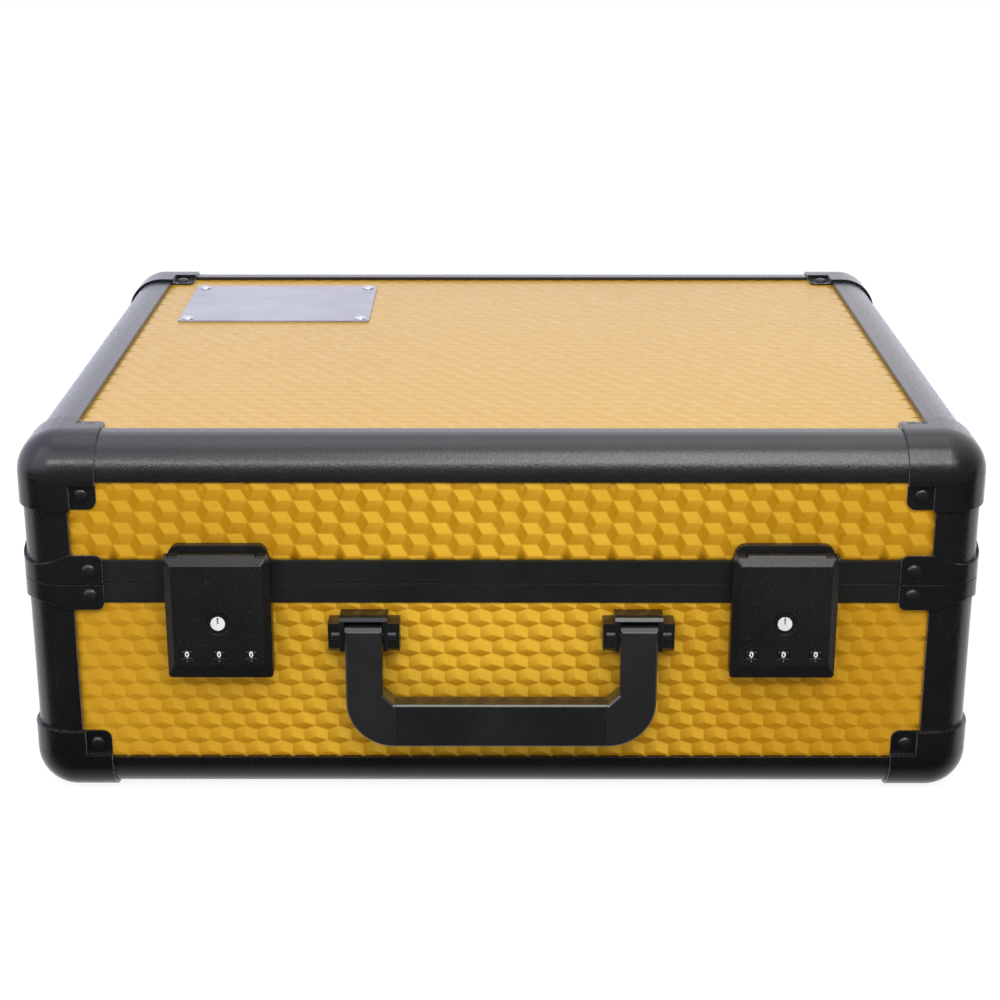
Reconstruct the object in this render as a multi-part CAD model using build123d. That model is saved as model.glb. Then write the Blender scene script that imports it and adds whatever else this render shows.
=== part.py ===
from build123d import *
import math
import os

# Graded card case: a hinged hard case with edge rails, ball corners, two combination latches,
# a drop handle, folding lid stays and foam rows. Millimetres, +Z up, front towards -Y.
os.makedirs("parts", exist_ok=True)

# Case size over the edge rails, and the height of the parting line above the bottom rails
width = 452.0
depth = 365.0
height = 178.4
seam_height = 109.1
seam_gap = 0.4

# Panels and the double-channel edge rails that hold them: a rail reaches rail_leg inwards in X or Y,
# and a level rail reaches rail_rise up or down the wall
panel_thick = 4.0
rail_leg = 23.7
rail_rise = 18.9
rail_round = 18.2
rail_flange = 2.0
rail_inner_flange = 1.4
panel_set_back = 13.7
channel_play = 0.1

# Tongue-and-groove frame along the parting line
base_band = 9.7
lid_band = 11.3
band_flange = 1.4
frame_web = 3.2
groove_roof = 1.6
tongue_from_face = 1.0
tongue_thick = 1.6
tongue_height = 2.8
groove_side_play = 0.6
groove_inner_play = 1.2
groove_top_play = 0.6

# Pressed steel ball corners and corner wraps
corner_sheet = 1.5
corner_seat = 0.3
ball_lap = 13.8
tab_sheet = 1.2
tab_step = 1.4
tab_round = 4.5
wrap_reach = 38.6
wrap_sheet = 1.2
base_wrap_height = 12.5
lid_wrap_height = 14.2
wrap_neck = 8.6
wrap_sweep_half = 17.0
wrap_round = 3.5

# Rivets
rivet_head_radius = 3.7
rivet_top_radius = 2.3
rivet_head_height = 1.7
tab_rivet_lap = 6.9
wrap_rivet_inset = 32.5
base_wrap_rivet_drop = 5.6
lid_wrap_rivet_rise = 6.7

# Back hinges
hinge_side_inset = 116.0
hinge_width = 44.0
hinge_knuckle_radius = 3.2
hinge_pin_radius = 1.6
hinge_lid_knuckle = 16.0
hinge_leaf_height = 24.0
hinge_leaf_stand = 2.9
hinge_standoff = 3.2
hinge_rivet_edge = 7.0
hinge_rivet_half_pitch = 14.7

# Clearances: a turning fit, a fixed seat and a gap between pieces that pass each other
running_play = 0.05
seat_play = 0.02
passing_gap = 0.3

# How far cutting shapes run past what they cut, how deep fused shapes reach into each other,
# and how near an edge lies to the place where it is looked for
cut_past = 1.0
fuse_depth = 0.2
same_place = 0.01

# Rubber feet on the hinge side
foot_radius = 9.0
foot_tip_radius = 7.4
foot_height = 10.0
foot_hole_radius = 2.6
foot_hole_depth = 3.0
foot_inset = 50.0
foot_rise = 30.0

# Sheet plate on the lid, with a screw and cup washer at each corner
badge_width = 108.6
badge_depth = 86.0
badge_sheet = 1.2
badge_side_inset = 41.9
badge_rear_inset = 44.3
badge_screw_inset = 5.2
badge_round = 2.0
screw_cup_radius = 3.4
screw_cup_top_radius = 2.3
screw_cup_height = 1.0
screw_head_radius = 1.9
screw_head_top_radius = 1.2
screw_head_height = 0.5

# Drop handle
handle_spacing = 129.4
handle_pivot_out = 9.8
handle_pivot_z = 88.1
handle_back = 4.4
handle_front = 15.6
handle_arm_width = 17.4
handle_eye_half = 5.2
handle_eye_corner = 3.4
handle_eye_front_set = 2.0
handle_eye_back_bevel = 2.2
handle_outer_round = 22.6
handle_inner_chamfer = 5.0
handle_edge_chamfer = 0.8
grip_length = 101.0
grip_low = 32.7
grip_height = 21.8
grip_edge_round = 1.6
tang_length = 12.0
tang_depth = 5.6
tang_height = 14.0
handle_pin_radius = 2.0
ear_thick = 2.2
ear_gap = 0.35
ear_reach = 12.3
ear_drop = 7.5
bridge_thick = 2.0
bridge_clearance = 0.5
bridge_chamfer = 1.4
bracket_plate = 1.5
boss_width = 5.6
boss_reach = 10.8
boss_rise = 6.2
boss_drop = 8.4
boss_chamfer = 2.2
pin_cover = 1.5

# Combination latches
latch_side_inset = 93.3
flap_width = 49.5
flap_low = 66.6
flap_high = 128.3
flap_back = 3.0
flap_shoulder = 10.4
flap_front = 14.0
flap_bevel_side = 3.6
flap_bevel_top = 4.3
flap_bevel_bottom = 7.6
flap_corner_round = 1.8
flap_wall = 1.6
flap_pin_out = 8.2
flap_pin_radius = 1.25
flap_barrel_radius = 3.4
flap_barrel_inset = 0.3
flap_pin_inset = 0.8
flap_lug_radius = 2.6
flap_lug_neck = 1.8
flap_lug_width = 4.2
flap_lug_centre = 20.5
mount_sheet = 1.2
mount_block_out = 3.8
mount_top = 130.8
mount_inset = 1.4
mount_round = 5.0
keeper_foot_drop = 1.3
keeper_notch_half = 19.5
keeper_notch_rise = 1.8

# Key cylinder, its cam and the hook that the cam turns behind
key_z = 95.3
key_radius = 3.4
key_ring_radius = 5.6
key_ring_depth = 0.6
key_boss_back = 7.2
key_slot_width = 0.8
key_slot_length = 3.4
key_slot_rise = 1.4
key_slot_depth = 2.5
key_recess = 0.2
cam_back = 3.4
cam_front = 4.6
cam_reach = 9.4
cam_width = 4.0
hook_lip_back = 5.0
hook_lip_front = 6.6
hook_lip_start = 4.5
hook_post = 10.2
hook_end = 11.8
hook_half = 5.0
hook_side_gap = 0.7
hook_front_gap = 0.8

# Number wheels of the combination
dial_pitch = 15.1
dial_z = 79.9
dial_out = 8.9
dial_radius = 5.2
dial_width = 5.4
dial_count = 3
dial_digits = 10
dial_groove = 0.35
dial_axle_radius = 1.2
dial_rib_thick = 2.0
dial_rib_gap = 1.2
dial_rib_half = 4.0
dial_rib_back = 7.0

# Folding stays at the two ends of the lid: pivots measured from the hinge axis
stay_base_back = 60.0
stay_base_drop = 30.0
stay_lid_back = 50.0
stay_lid_rise = 20.0
stay_link_thick = 1.8
stay_link_half = 6.0
stay_gap = 0.4
stay_pin_radius = 2.5
stay_open_bore = 2.9
stay_head_radius = 4.0
stay_head_thick = 1.0
stay_bracket_thick = 1.9
stay_bracket_half = 9.0
stay_bracket_foot = 4.0
stay_spacer_radius = 4.6

# Foam: rows for upright slabs 135 tall, as many as the case's width holds, with a pad above and
# below them. The side walls take up what the rows leave, and are at least this thick.
foam_play = 0.3
row_width = 86.0
row_wall = 14.0
side_wall_min = 8.0
floor_pad = 10.0
end_wall = 18.0
row_wall_drop = 4.0
lid_pad = 16.5
stay_room = 8.0
stay_room_length = 126.0
lid_border = 20.0

# Places worked out from the sizes above
ball_proud = corner_seat + corner_sheet
rail_low = ball_proud
rail_high = rail_low + height
seam = rail_low + seam_height
front_stand = handle_front - rail_flange
rear_stand = foot_height - rail_flange
centre_y = (front_stand - rear_stand) / 2
front = centre_y - depth / 2
rear = centre_y + depth / 2
side = width / 2
panel_inner = rail_flange + panel_thick
flange_inner = panel_inner + rail_inner_flange
panel_edge = panel_set_back + channel_play
base_top = seam - seam_gap / 2
lid_bottom = seam + seam_gap / 2
base_panel_top = base_top - frame_web
lid_web = tongue_height - seam_gap + groove_top_play + groove_roof
lid_panel_bottom = lid_bottom + lid_web
hinge_y = rear + hinge_standoff
flap_pin_z = flap_high - flap_barrel_radius
mount_width = flap_width - 2 * mount_inset
left_latch = latch_side_inset - side
right_latch = side - latch_side_inset
hinge_places = (hinge_side_inset - side, side - hinge_side_inset)
badge_x = badge_side_inset + badge_width / 2 - side
badge_y = rear - badge_rear_inset - badge_depth / 2


def front_y(out):
    """Y of a plane that stands out from the front panel's face by the given distance."""
    return front + rail_flange - out


def rear_y(out):
    """Y of a plane that stands out from the rear panel's face by the given distance."""
    return rear - rail_flange + out


def block(x, y, z):
    """A box from three pairs of limits, given in either order."""
    low = [min(pair) for pair in (x, y, z)]
    high = [max(pair) for pair in (x, y, z)]
    size = [b - a for a, b in zip(low, high)]
    middle = [(a + b) / 2 for a, b in zip(low, high)]
    return Pos(*middle) * Box(*size)


def bar_x(points, x0, x1):
    """A straight bar along X with a polygon section given as (y, z) points."""
    plane = Plane(origin=(x0, 0, 0), x_dir=(0, 1, 0), z_dir=(1, 0, 0))
    return extrude(plane * make_face(Polyline(*points, close=True)), x1 - x0)


def rod_x(x0, x1, y, z, radius):
    """A round rod along X."""
    plane = Plane(origin=(x0, y, z), x_dir=(0, 1, 0), z_dir=(1, 0, 0))
    return extrude(plane * Circle(radius), x1 - x0)


def cone_up(low_radius, high_radius, height):
    """A truncated cone that stands on the plane Z = 0."""
    return Cone(low_radius, high_radius, height, align=(Align.CENTER, Align.CENTER, Align.MIN))


def front_plane(x, out, z):
    """A plane parallel to the front panel, facing outwards."""
    return Plane(origin=(x, front_y(out), z), x_dir=(1, 0, 0), z_dir=(0, -1, 0))


def corner_plane(side_x, side_y, side_z, z):
    """A plane at one corner of the case whose X, Y and Z run inwards, kept right-handed."""
    along_x = Vector(-side_x, 0, 0)
    along_y = Vector(0, -side_y, 0)
    along_z = Vector(0, 0, -side_z)
    first = along_x if along_x.cross(along_y).dot(along_z) > 0 else along_y
    corner = (side_x * side, centre_y + side_y * depth / 2, z)
    return Plane(origin=corner, x_dir=first, z_dir=along_z)


def four(make):
    """The same piece made for the four vertical corners of the case."""
    return [make(side_x, side_y) for side_x in (-1, 1) for side_y in (-1, 1)]


def rail_section(leg, rise):
    """Section of an edge rail: a rounded outside with two channels that hold the panels."""
    inside = flange_inner
    far = panel_inner
    arc = CenterArc((rail_round, rail_round), rail_round, 180, 90)
    rest = Polyline(
        (rail_round, 0), (leg, 0), (leg, rail_flange), (panel_set_back, rail_flange),
        (panel_set_back, far), (leg, far), (leg, inside), (inside, inside),
        (inside, rise), (far, rise), (far, panel_set_back), (rail_flange, panel_set_back),
        (rail_flange, rise), (0, rise), (0, rail_round),
    )
    return make_face([arc, *rest.edges()])


def edge_bar(corner, first, second, rise, length):
    """A rail along one edge: first and second point inwards along its rail_leg and its rise."""
    first = Vector(*first)
    second = Vector(*second)
    plane = Plane(origin=corner, x_dir=first, z_dir=first.cross(second))
    return extrude(plane * rail_section(rail_leg, rise), length / 2, both=True)


def level_rails(z, inward_z):
    """Four rails round the bottom or the top, square-cut where the ball corners cover them."""
    along_x = width - 2 * rail_leg
    along_y = depth - 2 * rail_leg
    up = (0, 0, inward_z)
    return [
        edge_bar((0, front, z), (0, 1, 0), up, rail_rise, along_x),
        edge_bar((0, rear, z), (0, -1, 0), up, rail_rise, along_x),
        edge_bar((-side, centre_y, z), (1, 0, 0), up, rail_rise, along_y),
        edge_bar((side, centre_y, z), (-1, 0, 0), up, rail_rise, along_y),
    ]


def corner_posts(z0, z1):
    """Upright rails at the four corners between two heights."""
    def post(side_x, side_y):
        corner = (side_x * side, centre_y + side_y * depth / 2, (z0 + z1) / 2)
        return edge_bar(corner, (-side_x, 0, 0), (0, -side_y, 0), rail_leg, z1 - z0)

    return four(post)


def flat_panel(z_face, inward_z):
    """The floor or the top panel, inside the channels of its four rails."""
    z = (z_face + inward_z * rail_flange, z_face + inward_z * panel_inner)
    x_edge = side - panel_edge
    y_edge = depth / 2 - panel_edge
    return block((-x_edge, x_edge), (centre_y - y_edge, centre_y + y_edge), z)


def front_panel(z0, z1):
    """The front panel between two heights."""
    x_edge = side - panel_edge
    return block((-x_edge, x_edge), (front + rail_flange, front + panel_inner), (z0, z1))


def back_panel(z0, z1):
    """The back panel between two heights."""
    x_edge = side - panel_edge
    return block((-x_edge, x_edge), (rear - rail_flange, rear - panel_inner), (z0, z1))


def side_panels(z0, z1):
    """Both side panels between two heights."""
    y_edge = depth / 2 - panel_edge
    y = (centre_y - y_edge, centre_y + y_edge)
    return [block((s * (side - rail_flange), s * (side - panel_inner)), y, (z0, z1)) for s in (-1, 1)]


def frame_bars(section):
    """Four straight bars of a frame along the parting line, from a (depth inwards, z) section."""
    length_x = side - rail_leg - channel_play
    length_y = depth / 2 - rail_leg - channel_play
    bars = []
    for sign in (-1, 1):
        wall_y = centre_y + sign * depth / 2
        bars.append(bar_x([(wall_y - sign * d, z) for d, z in section], -length_x, length_x))
        plane = Plane(origin=(0, centre_y + length_y, 0), x_dir=(1, 0, 0), z_dir=(0, -1, 0))
        outline = Polyline(*[(sign * (side - d), z) for d, z in section], close=True)
        bars.append(extrude(plane * make_face(outline), 2 * length_y))
    return bars


face_in = rail_flange - band_flange
tongue_out = face_in + tongue_from_face + band_flange
tongue_in = tongue_out + tongue_thick


def base_frame_section():
    """Lower frame: a channel over the base panels with a tongue on top."""
    low = base_top - base_band + seam_gap / 2
    return [
        (face_in, low), (rail_flange, low), (rail_flange, base_panel_top),
        (panel_inner, base_panel_top), (panel_inner, low), (flange_inner, low),
        (flange_inner, base_top), (tongue_in, base_top), (tongue_in, seam + tongue_height),
        (tongue_out, seam + tongue_height), (tongue_out, base_top), (face_in, base_top),
    ]


def lid_frame_section():
    """Upper frame: a channel under the lid panels with a groove for the tongue."""
    high = lid_bottom + lid_band - seam_gap / 2
    groove_top = seam + tongue_height + groove_top_play
    groove_out = tongue_out - groove_side_play
    groove_in = tongue_in + groove_inner_play
    return [
        (face_in, high), (rail_flange, high), (rail_flange, lid_panel_bottom),
        (panel_inner, lid_panel_bottom), (panel_inner, high), (flange_inner, high),
        (flange_inner, lid_bottom), (groove_in, lid_bottom), (groove_in, groove_top),
        (groove_out, groove_top), (groove_out, lid_bottom), (face_in, lid_bottom),
    ]


ball_legs = (rail_leg, rail_leg, rail_rise)
ball_reach = [leg + ball_lap for leg in ball_legs]


def rounded_corner(past, radius, shift):
    """A ball corner's block, past its ends by the first length, grown outwards by shift and rounded."""
    body = block(*[(-shift, reach + past) for reach in ball_reach])
    touching = [
        edge for edge in body.edges()
        if sum(abs(value + shift) < same_place for value in edge.center()) == 2
    ]
    return fillet(touching, radius)


def about_diagonal(shape, turns):
    """A shape at a corner, turned by thirds of a turn so that X, Y and Z change places."""
    for _ in range(turns):
        shape = Rot(0, 0, 90) * (Rot(90, 0, 0) * shape)
    return shape


def ball_corner_face(turns):
    """Limits of the open part of a ball corner's face, before that face is turned into place."""
    pairs = [(leg + channel_play, reach) for leg, reach in zip(ball_legs, ball_reach)]
    return pairs[turns], pairs[(turns + 1) % len(pairs)]


def ball_corner_opening(turns):
    """The opening of a ball corner's face round its tab."""
    (x0, x1), (y0, y1) = ball_corner_face(turns)
    return block((x0, x1 + cut_past), (y0, y1 + cut_past), (-ball_proud - cut_past, rail_flange))


def ball_corner_tab(turns):
    """The riveted tab of a ball corner on one panel, stepped down to lie on the panel."""
    (x0, x1), (y0, y1) = ball_corner_face(turns)
    tab = block((x0, x1), (y0, y1), (-ball_proud, rail_flange))
    tip = tab.edges().filter_by(Axis.Z).sort_by(lambda e: e.center().X + e.center().Y)[-1]
    tab = fillet(tip, tab_round)
    step_x = (x0 + tab_step, x1 + cut_past)
    step_y = (y0 + tab_step, y1 + cut_past)
    return tab - block(step_x, step_y, (-ball_proud - cut_past, rail_flange - tab_sheet))


def ball_corner():
    """One pressed ball corner, in a frame whose axes run inwards from the case's corner."""
    outer = rounded_corner(0, rail_round + ball_proud, ball_proud)
    inner = rounded_corner(cut_past, rail_round + corner_seat, corner_seat)
    shell = outer - inner
    for turns in range(len(ball_legs)):
        shell -= about_diagonal(ball_corner_opening(turns), turns)
        shell += about_diagonal(ball_corner_tab(turns), turns)
    return shell


def ball_corners(z, side_z):
    """Ball corners at the four corners of the base or the lid."""
    piece = ball_corner()
    return four(lambda sx, sy: corner_plane(sx, sy, side_z, z) * piece)


def corner_wrap(full_height):
    """A pressed wrap round one corner at the parting line, narrowed where it turns the corner."""
    seat = corner_seat
    skin = corner_seat + wrap_sheet

    def shell(grow, top):
        solid = block((-grow, wrap_reach), (-grow, wrap_reach), (0, top))
        bend = solid.edges().filter_by(Axis.Z).sort_by(lambda e: e.center().X + e.center().Y)[0]
        return fillet(bend, rail_round + grow)

    outer = shell(skin, full_height)
    tips = [
        edge for edge in outer.edges()
        if abs(edge.center().Z - full_height) < same_place
        and max(edge.center().X, edge.center().Y) > wrap_reach - same_place
    ]
    outer = fillet(tips, wrap_round)
    wrap = outer - shell(seat, full_height + cut_past)
    far = wrap_reach * 2
    wrap -= block((flange_inner, far), (flange_inner, far), (-cut_past, full_height + cut_past))
    fall = full_height - wrap_neck
    sweep = (wrap_sweep_half ** 2 + fall ** 2) / (2 * fall)
    across = Plane(origin=(0, 0, wrap_neck + sweep), x_dir=(1, -1, 0), z_dir=(1, 1, 0))
    return wrap - extrude(across * Circle(sweep), far, both=True)


def corner_wraps(side_z, full_height):
    """Wraps at the four corners, against the parting line on the base or the lid."""
    z = base_top if side_z > 0 else lid_bottom
    piece = corner_wrap(full_height)
    return four(lambda sx, sy: corner_plane(sx, sy, side_z, z) * piece)


def rivet_head():
    """A low domed rivet head that stands on the plane Z = 0."""
    return cone_up(rivet_head_radius, rivet_top_radius, rivet_head_height)


def rivets(level_z, side_z, wrap_z):
    """Heads on the ball corner tabs and the corner wraps of the base or the lid."""
    head = rivet_head()
    tab_level = rail_flange - tab_sheet
    wrap_level = -corner_seat - wrap_sheet
    heads = []

    def corner_heads(side_x, side_y):
        frame = corner_plane(side_x, side_y, side_z, level_z)
        seam_frame = corner_plane(side_x, side_y, side_z, wrap_z)
        across = rail_leg + tab_rivet_lap
        along = rail_rise + tab_rivet_lap
        found = []
        for place, direction in (
            ((across, across, tab_level), (0, 0, -1)),
            ((across, tab_level, along), (0, -1, 0)),
            ((tab_level, across, along), (-1, 0, 0)),
        ):
            found.append(frame * Plane(origin=place, z_dir=direction).location * head)
        w = wrap_rivet_inset
        for place, direction in (((w, wrap_level, 0), (0, -1, 0)), ((wrap_level, w, 0), (-1, 0, 0))):
            found.append(seam_frame * Plane(origin=place, z_dir=direction).location * head)
        return found

    for group in four(corner_heads):
        heads.extend(group)
    return heads


def hinge_leaf(x, up):
    """One leaf of a back hinge: up is +1 for the lid's leaf and -1 for the base's."""
    edge = lid_bottom if up > 0 else base_top
    band = lid_band if up > 0 else base_band
    band_edge = seam + up * (band + channel_play)
    far = seam + up * hinge_leaf_height
    thick = hinge_leaf_stand
    profile = [
        (rear_y(band_flange), edge), (rear_y(thick), edge), (rear_y(thick), far),
        (rear_y(0), far), (rear_y(0), band_edge), (rear_y(band_flange), band_edge),
    ]
    leaf = bar_x(profile, x - hinge_width / 2, x + hinge_width / 2)
    middle = (x - hinge_lid_knuckle / 2, x + hinge_lid_knuckle / 2)
    outer = [(x - hinge_width / 2, middle[0] - passing_gap), (middle[1] + passing_gap, x + hinge_width / 2)]
    own, other = ([middle], outer) if up > 0 else (outer, [middle])
    for x0, x1 in other:
        leaf -= rod_x(x0 - passing_gap, x1 + passing_gap, hinge_y, seam, hinge_knuckle_radius + passing_gap)
    for x0, x1 in own:
        leaf += rod_x(x0, x1, hinge_y, seam, hinge_knuckle_radius)
    play = running_play if up > 0 else seat_play
    leaf -= rod_x(x - hinge_width, x + hinge_width, hinge_y, seam, hinge_pin_radius + play)
    return leaf


def hinge_pin(x):
    """The pin of one back hinge."""
    return rod_x(x - hinge_width / 2, x + hinge_width / 2, hinge_y, seam, hinge_pin_radius)


def hinge_rivets(up):
    """Rivet heads on the back hinge leaves."""
    z = seam + up * (hinge_leaf_height - hinge_rivet_edge)
    heads = []
    for x in hinge_places:
        for dx in (-hinge_rivet_half_pitch, hinge_rivet_half_pitch):
            place = Plane(origin=(x + dx, rear_y(hinge_leaf_stand), z), z_dir=(0, 1, 0))
            heads.append(place.location * rivet_head())
    return heads


def rear_feet(z):
    """Two rubber feet on the hinge side, on which the case also stands upright."""
    feet = []
    for sign in (-1, 1):
        place = Plane(origin=(sign * (side - foot_inset), rear_y(0), z), z_dir=(0, 1, 0))
        foot = cone_up(foot_radius, foot_tip_radius, foot_height)
        hole = Pos(0, 0, foot_height - foot_hole_depth / 2) * Cylinder(foot_hole_radius, foot_hole_depth)
        feet.append(place.location * (foot - hole))
    return feet


def badge_plate():
    """The bare sheet plate on the lid."""
    place = Pos(badge_x, badge_y, rail_high - rail_flange)
    return place * extrude(RectangleRounded(badge_width, badge_depth, badge_round), badge_sheet)


def badge_screws():
    """Four screws with cup washers at the plate's corners."""
    screws = []
    z = rail_high - rail_flange + badge_sheet
    for sx in (-1, 1):
        for sy in (-1, 1):
            x = badge_x + sx * (badge_width / 2 - badge_screw_inset)
            y = badge_y + sy * (badge_depth / 2 - badge_screw_inset)
            cup = cone_up(screw_cup_radius, screw_cup_top_radius, screw_cup_height)
            head = cone_up(screw_head_radius, screw_head_top_radius, screw_head_height)
            screws.append(Pos(x, y, z) * (cup + Pos(0, 0, screw_cup_height) * head))
    return screws


def handle_bracket(sign):
    """A bracket of the handle: two ears, the bridge over them and a pin boss on each side."""
    x = sign * handle_spacing / 2
    inner = handle_arm_width / 2 + ear_gap
    outer = inner + ear_thick
    swing = math.hypot(handle_front - handle_pivot_out, handle_eye_corner)
    under = handle_pivot_z + swing + bridge_clearance
    top = under + bridge_thick
    low = handle_pivot_z - ear_drop
    body = block((x - outer, x + outer), (front_y(0), front_y(ear_reach)), (low, top))
    between = (front_y(bracket_plate), front_y(ear_reach + cut_past))
    body -= block((x - inner, x + inner), between, (low - cut_past, under))
    nose = [
        e for e in body.edges().filter_by(Axis.X)
        if abs(e.center().Y - front_y(ear_reach)) < same_place and abs(e.center().Z - top) < same_place
    ]
    body = chamfer(nose, bridge_chamfer)
    for away in (-1, 1):
        x0 = x + away * outer
        x1 = x + away * (outer + boss_width)
        z0 = handle_pivot_z - boss_drop
        z1 = handle_pivot_z + boss_rise
        profile = [
            (front_y(0), z0), (front_y(boss_reach - boss_chamfer), z0),
            (front_y(boss_reach), z0 + boss_chamfer), (front_y(boss_reach), z1), (front_y(0), z1),
        ]
        body += bar_x(profile, min(x0, x1), max(x0, x1))
    reach = outer + boss_width - pin_cover
    bore = handle_pin_radius + seat_play
    return body - rod_x(x - reach, x + reach, front_y(handle_pivot_out), handle_pivot_z, bore)


def handle_pin(sign):
    """The pin on which one end of the handle turns."""
    x = sign * handle_spacing / 2
    reach = handle_arm_width / 2 + ear_gap + ear_thick + boss_width - pin_cover - channel_play
    return rod_x(x - reach, x + reach, front_y(handle_pivot_out), handle_pivot_z, handle_pin_radius)


def handle_arm(sign):
    """One L-shaped end of the handle, from its eye to the tang inside the grip."""
    x_out = handle_spacing / 2 + handle_arm_width / 2
    x_in = x_out - handle_arm_width
    grip_end = grip_length / 2
    low = grip_low
    high = grip_low + grip_height
    top = handle_pivot_z + handle_eye_half
    round_start = handle_outer_round
    curve = Polyline(
        (grip_end, high), (x_in - handle_inner_chamfer, high), (x_in, high + handle_inner_chamfer),
        (x_in, top), (x_out, top), (x_out, low + round_start),
    )
    bend = CenterArc((x_out - round_start, low + round_start), round_start, -90, 90)
    foot = Polyline((x_out - round_start, low), (grip_end, low), (grip_end, high))
    outline = make_face([*curve.edges(), *foot.edges(), bend])
    arm = extrude(front_plane(0, handle_back, 0) * outline, handle_front - handle_back)
    rims = [
        edge for edge in arm.faces().sort_by(Axis.Y)[0].edges()
        if abs(edge.center().X - grip_end) > same_place and abs(edge.center().Z - top) > same_place
    ]
    arm = chamfer(rims, handle_edge_chamfer)
    eye = [
        (front_y(handle_back), low - cut_past), (front_y(handle_front), low - cut_past),
        (front_y(handle_front), handle_pivot_z + handle_eye_corner),
        (front_y(handle_front - handle_eye_front_set), top),
        (front_y(handle_back + handle_eye_back_bevel), top),
        (front_y(handle_back), top - handle_eye_back_bevel),
    ]
    arm &= bar_x(eye, 0, x_out + cut_past)
    mid_out = (handle_back + handle_front) / 2
    mid_z = (low + high) / 2
    tang_y = (front_y(mid_out - tang_depth / 2), front_y(mid_out + tang_depth / 2))
    tang_z = (mid_z - tang_height / 2, mid_z + tang_height / 2)
    arm += block((grip_end - tang_length, grip_end + fuse_depth), tang_y, tang_z)
    bore = handle_pin_radius + running_play
    arm -= rod_x(x_in - cut_past, x_out + cut_past, front_y(handle_pivot_out), handle_pivot_z, bore)
    return arm if sign > 0 else mirror(arm, about=Plane.YZ)


def handle_grip():
    """The straight grip, with a socket at each end for the tang of its arm."""
    half = grip_length / 2
    y = (front_y(handle_back), front_y(handle_front))
    grip = block((-half, half), y, (grip_low, grip_low + grip_height))
    back = [e for e in grip.edges().filter_by(Axis.X) if abs(e.center().Y - y[0]) < same_place]
    grip = fillet(back, grip_edge_round)
    face = [e for e in grip.edges().filter_by(Axis.X) if abs(e.center().Y - y[1]) < same_place]
    grip = chamfer(face, handle_edge_chamfer)
    mid_out = (handle_back + handle_front) / 2
    mid_z = grip_low + grip_height / 2
    play = channel_play
    socket_y = (front_y(mid_out - tang_depth / 2 - play), front_y(mid_out + tang_depth / 2 + play))
    socket_z = (mid_z - tang_height / 2 - play, mid_z + tang_height / 2 + play)
    for sign in (-1, 1):
        grip -= block((sign * (half - tang_length - play), sign * (half + cut_past)), socket_y, socket_z)
    return grip


def latch_mount(x):
    """The plate of a latch on the lid, with the two lugs that carry the flap's pin."""
    band_edge = seam + lid_band + channel_play
    plate = band_flange + mount_sheet
    block_low = flap_pin_z + passing_gap
    profile = [
        (front_y(0), mount_top), (front_y(mount_block_out), mount_top),
        (front_y(mount_block_out), block_low), (front_y(plate), block_low),
        (front_y(plate), lid_bottom), (front_y(band_flange), lid_bottom),
        (front_y(band_flange), band_edge), (front_y(0), band_edge),
    ]
    body = bar_x(profile, x - mount_width / 2, x + mount_width / 2)
    tall = mount_top - lid_bottom + 2 * mount_round
    middle = mount_top - tall / 2
    outline = front_plane(x, -cut_past, middle) * RectangleRounded(mount_width, tall, mount_round)
    body &= extrude(outline, mount_block_out + 2 * cut_past)
    for sign in (-1, 1):
        x0 = x + sign * flap_lug_centre - flap_lug_width / 2
        x1 = x0 + flap_lug_width
        neck_z = (flap_pin_z - flap_lug_neck, flap_pin_z + flap_lug_neck)
        body += block((x0, x1), (front_y(plate - fuse_depth), front_y(flap_pin_out)), neck_z)
        body += rod_x(x0, x1, front_y(flap_pin_out), flap_pin_z, flap_lug_radius)
        bore = flap_pin_radius + seat_play
        body -= rod_x(x0 - cut_past, x1 + cut_past, front_y(flap_pin_out), flap_pin_z, bore)
    return body


def latch_pin(x):
    """The hinge pin of a latch flap."""
    reach = flap_width / 2 - flap_pin_inset
    return rod_x(x - reach, x + reach, front_y(flap_pin_out), flap_pin_z, flap_pin_radius)


def flap_shell(x):
    """The bevelled cover of a latch, open at the back."""
    middle = (flap_low + flap_high) / 2
    tall = flap_high - flap_low

    def bevelled(inset, back, face_inset, face_out):
        wide = flap_width - 2 * inset
        high = tall - 2 * inset
        corner = flap_corner_round - inset / 2
        shoulder_face = RectangleRounded(wide, high, corner)
        top_wide = flap_width - 2 * flap_bevel_side - face_inset
        top_high = tall - flap_bevel_top - flap_bevel_bottom - face_inset
        top_face = RectangleRounded(top_wide, top_high, corner / 2)
        straight = extrude(front_plane(x, back, middle) * shoulder_face, flap_shoulder - back)
        shoulder = front_plane(x, flap_shoulder, middle) * shoulder_face
        top_middle = middle + (flap_bevel_bottom - flap_bevel_top) / 2
        return straight + loft([shoulder, front_plane(x, face_out, top_middle) * top_face])

    cover = bevelled(0, flap_back, 0, flap_front)
    return cover - bevelled(flap_wall, flap_back - cut_past, flap_wall, flap_front - flap_wall)


def with_wheel_ribs(flap, x):
    """A latch's cover with its wheel windows and the two ribs that carry the wheels' axle."""
    inner_face = flap_front - flap_wall
    rib_x = dial_pitch + dial_width / 2 + dial_rib_gap
    rib_end = rib_x + dial_rib_thick
    for sign in (-1, 1):
        rib_y = (front_y(dial_rib_back), front_y(inner_face + fuse_depth))
        rib_z = (dial_z - dial_rib_half, dial_z + dial_rib_half)
        flap += block((x + sign * rib_x, x + sign * rib_end), rib_y, rib_z)
    flap -= rod_x(x - rib_end, x + rib_end, front_y(dial_out), dial_z, dial_axle_radius + seat_play)
    half = dial_width / 2 + passing_gap
    pocket = dial_radius + passing_gap
    for place in dial_places(x):
        flap -= rod_x(place - half, place + half, front_y(dial_out), dial_z, pocket)
    return flap


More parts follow.
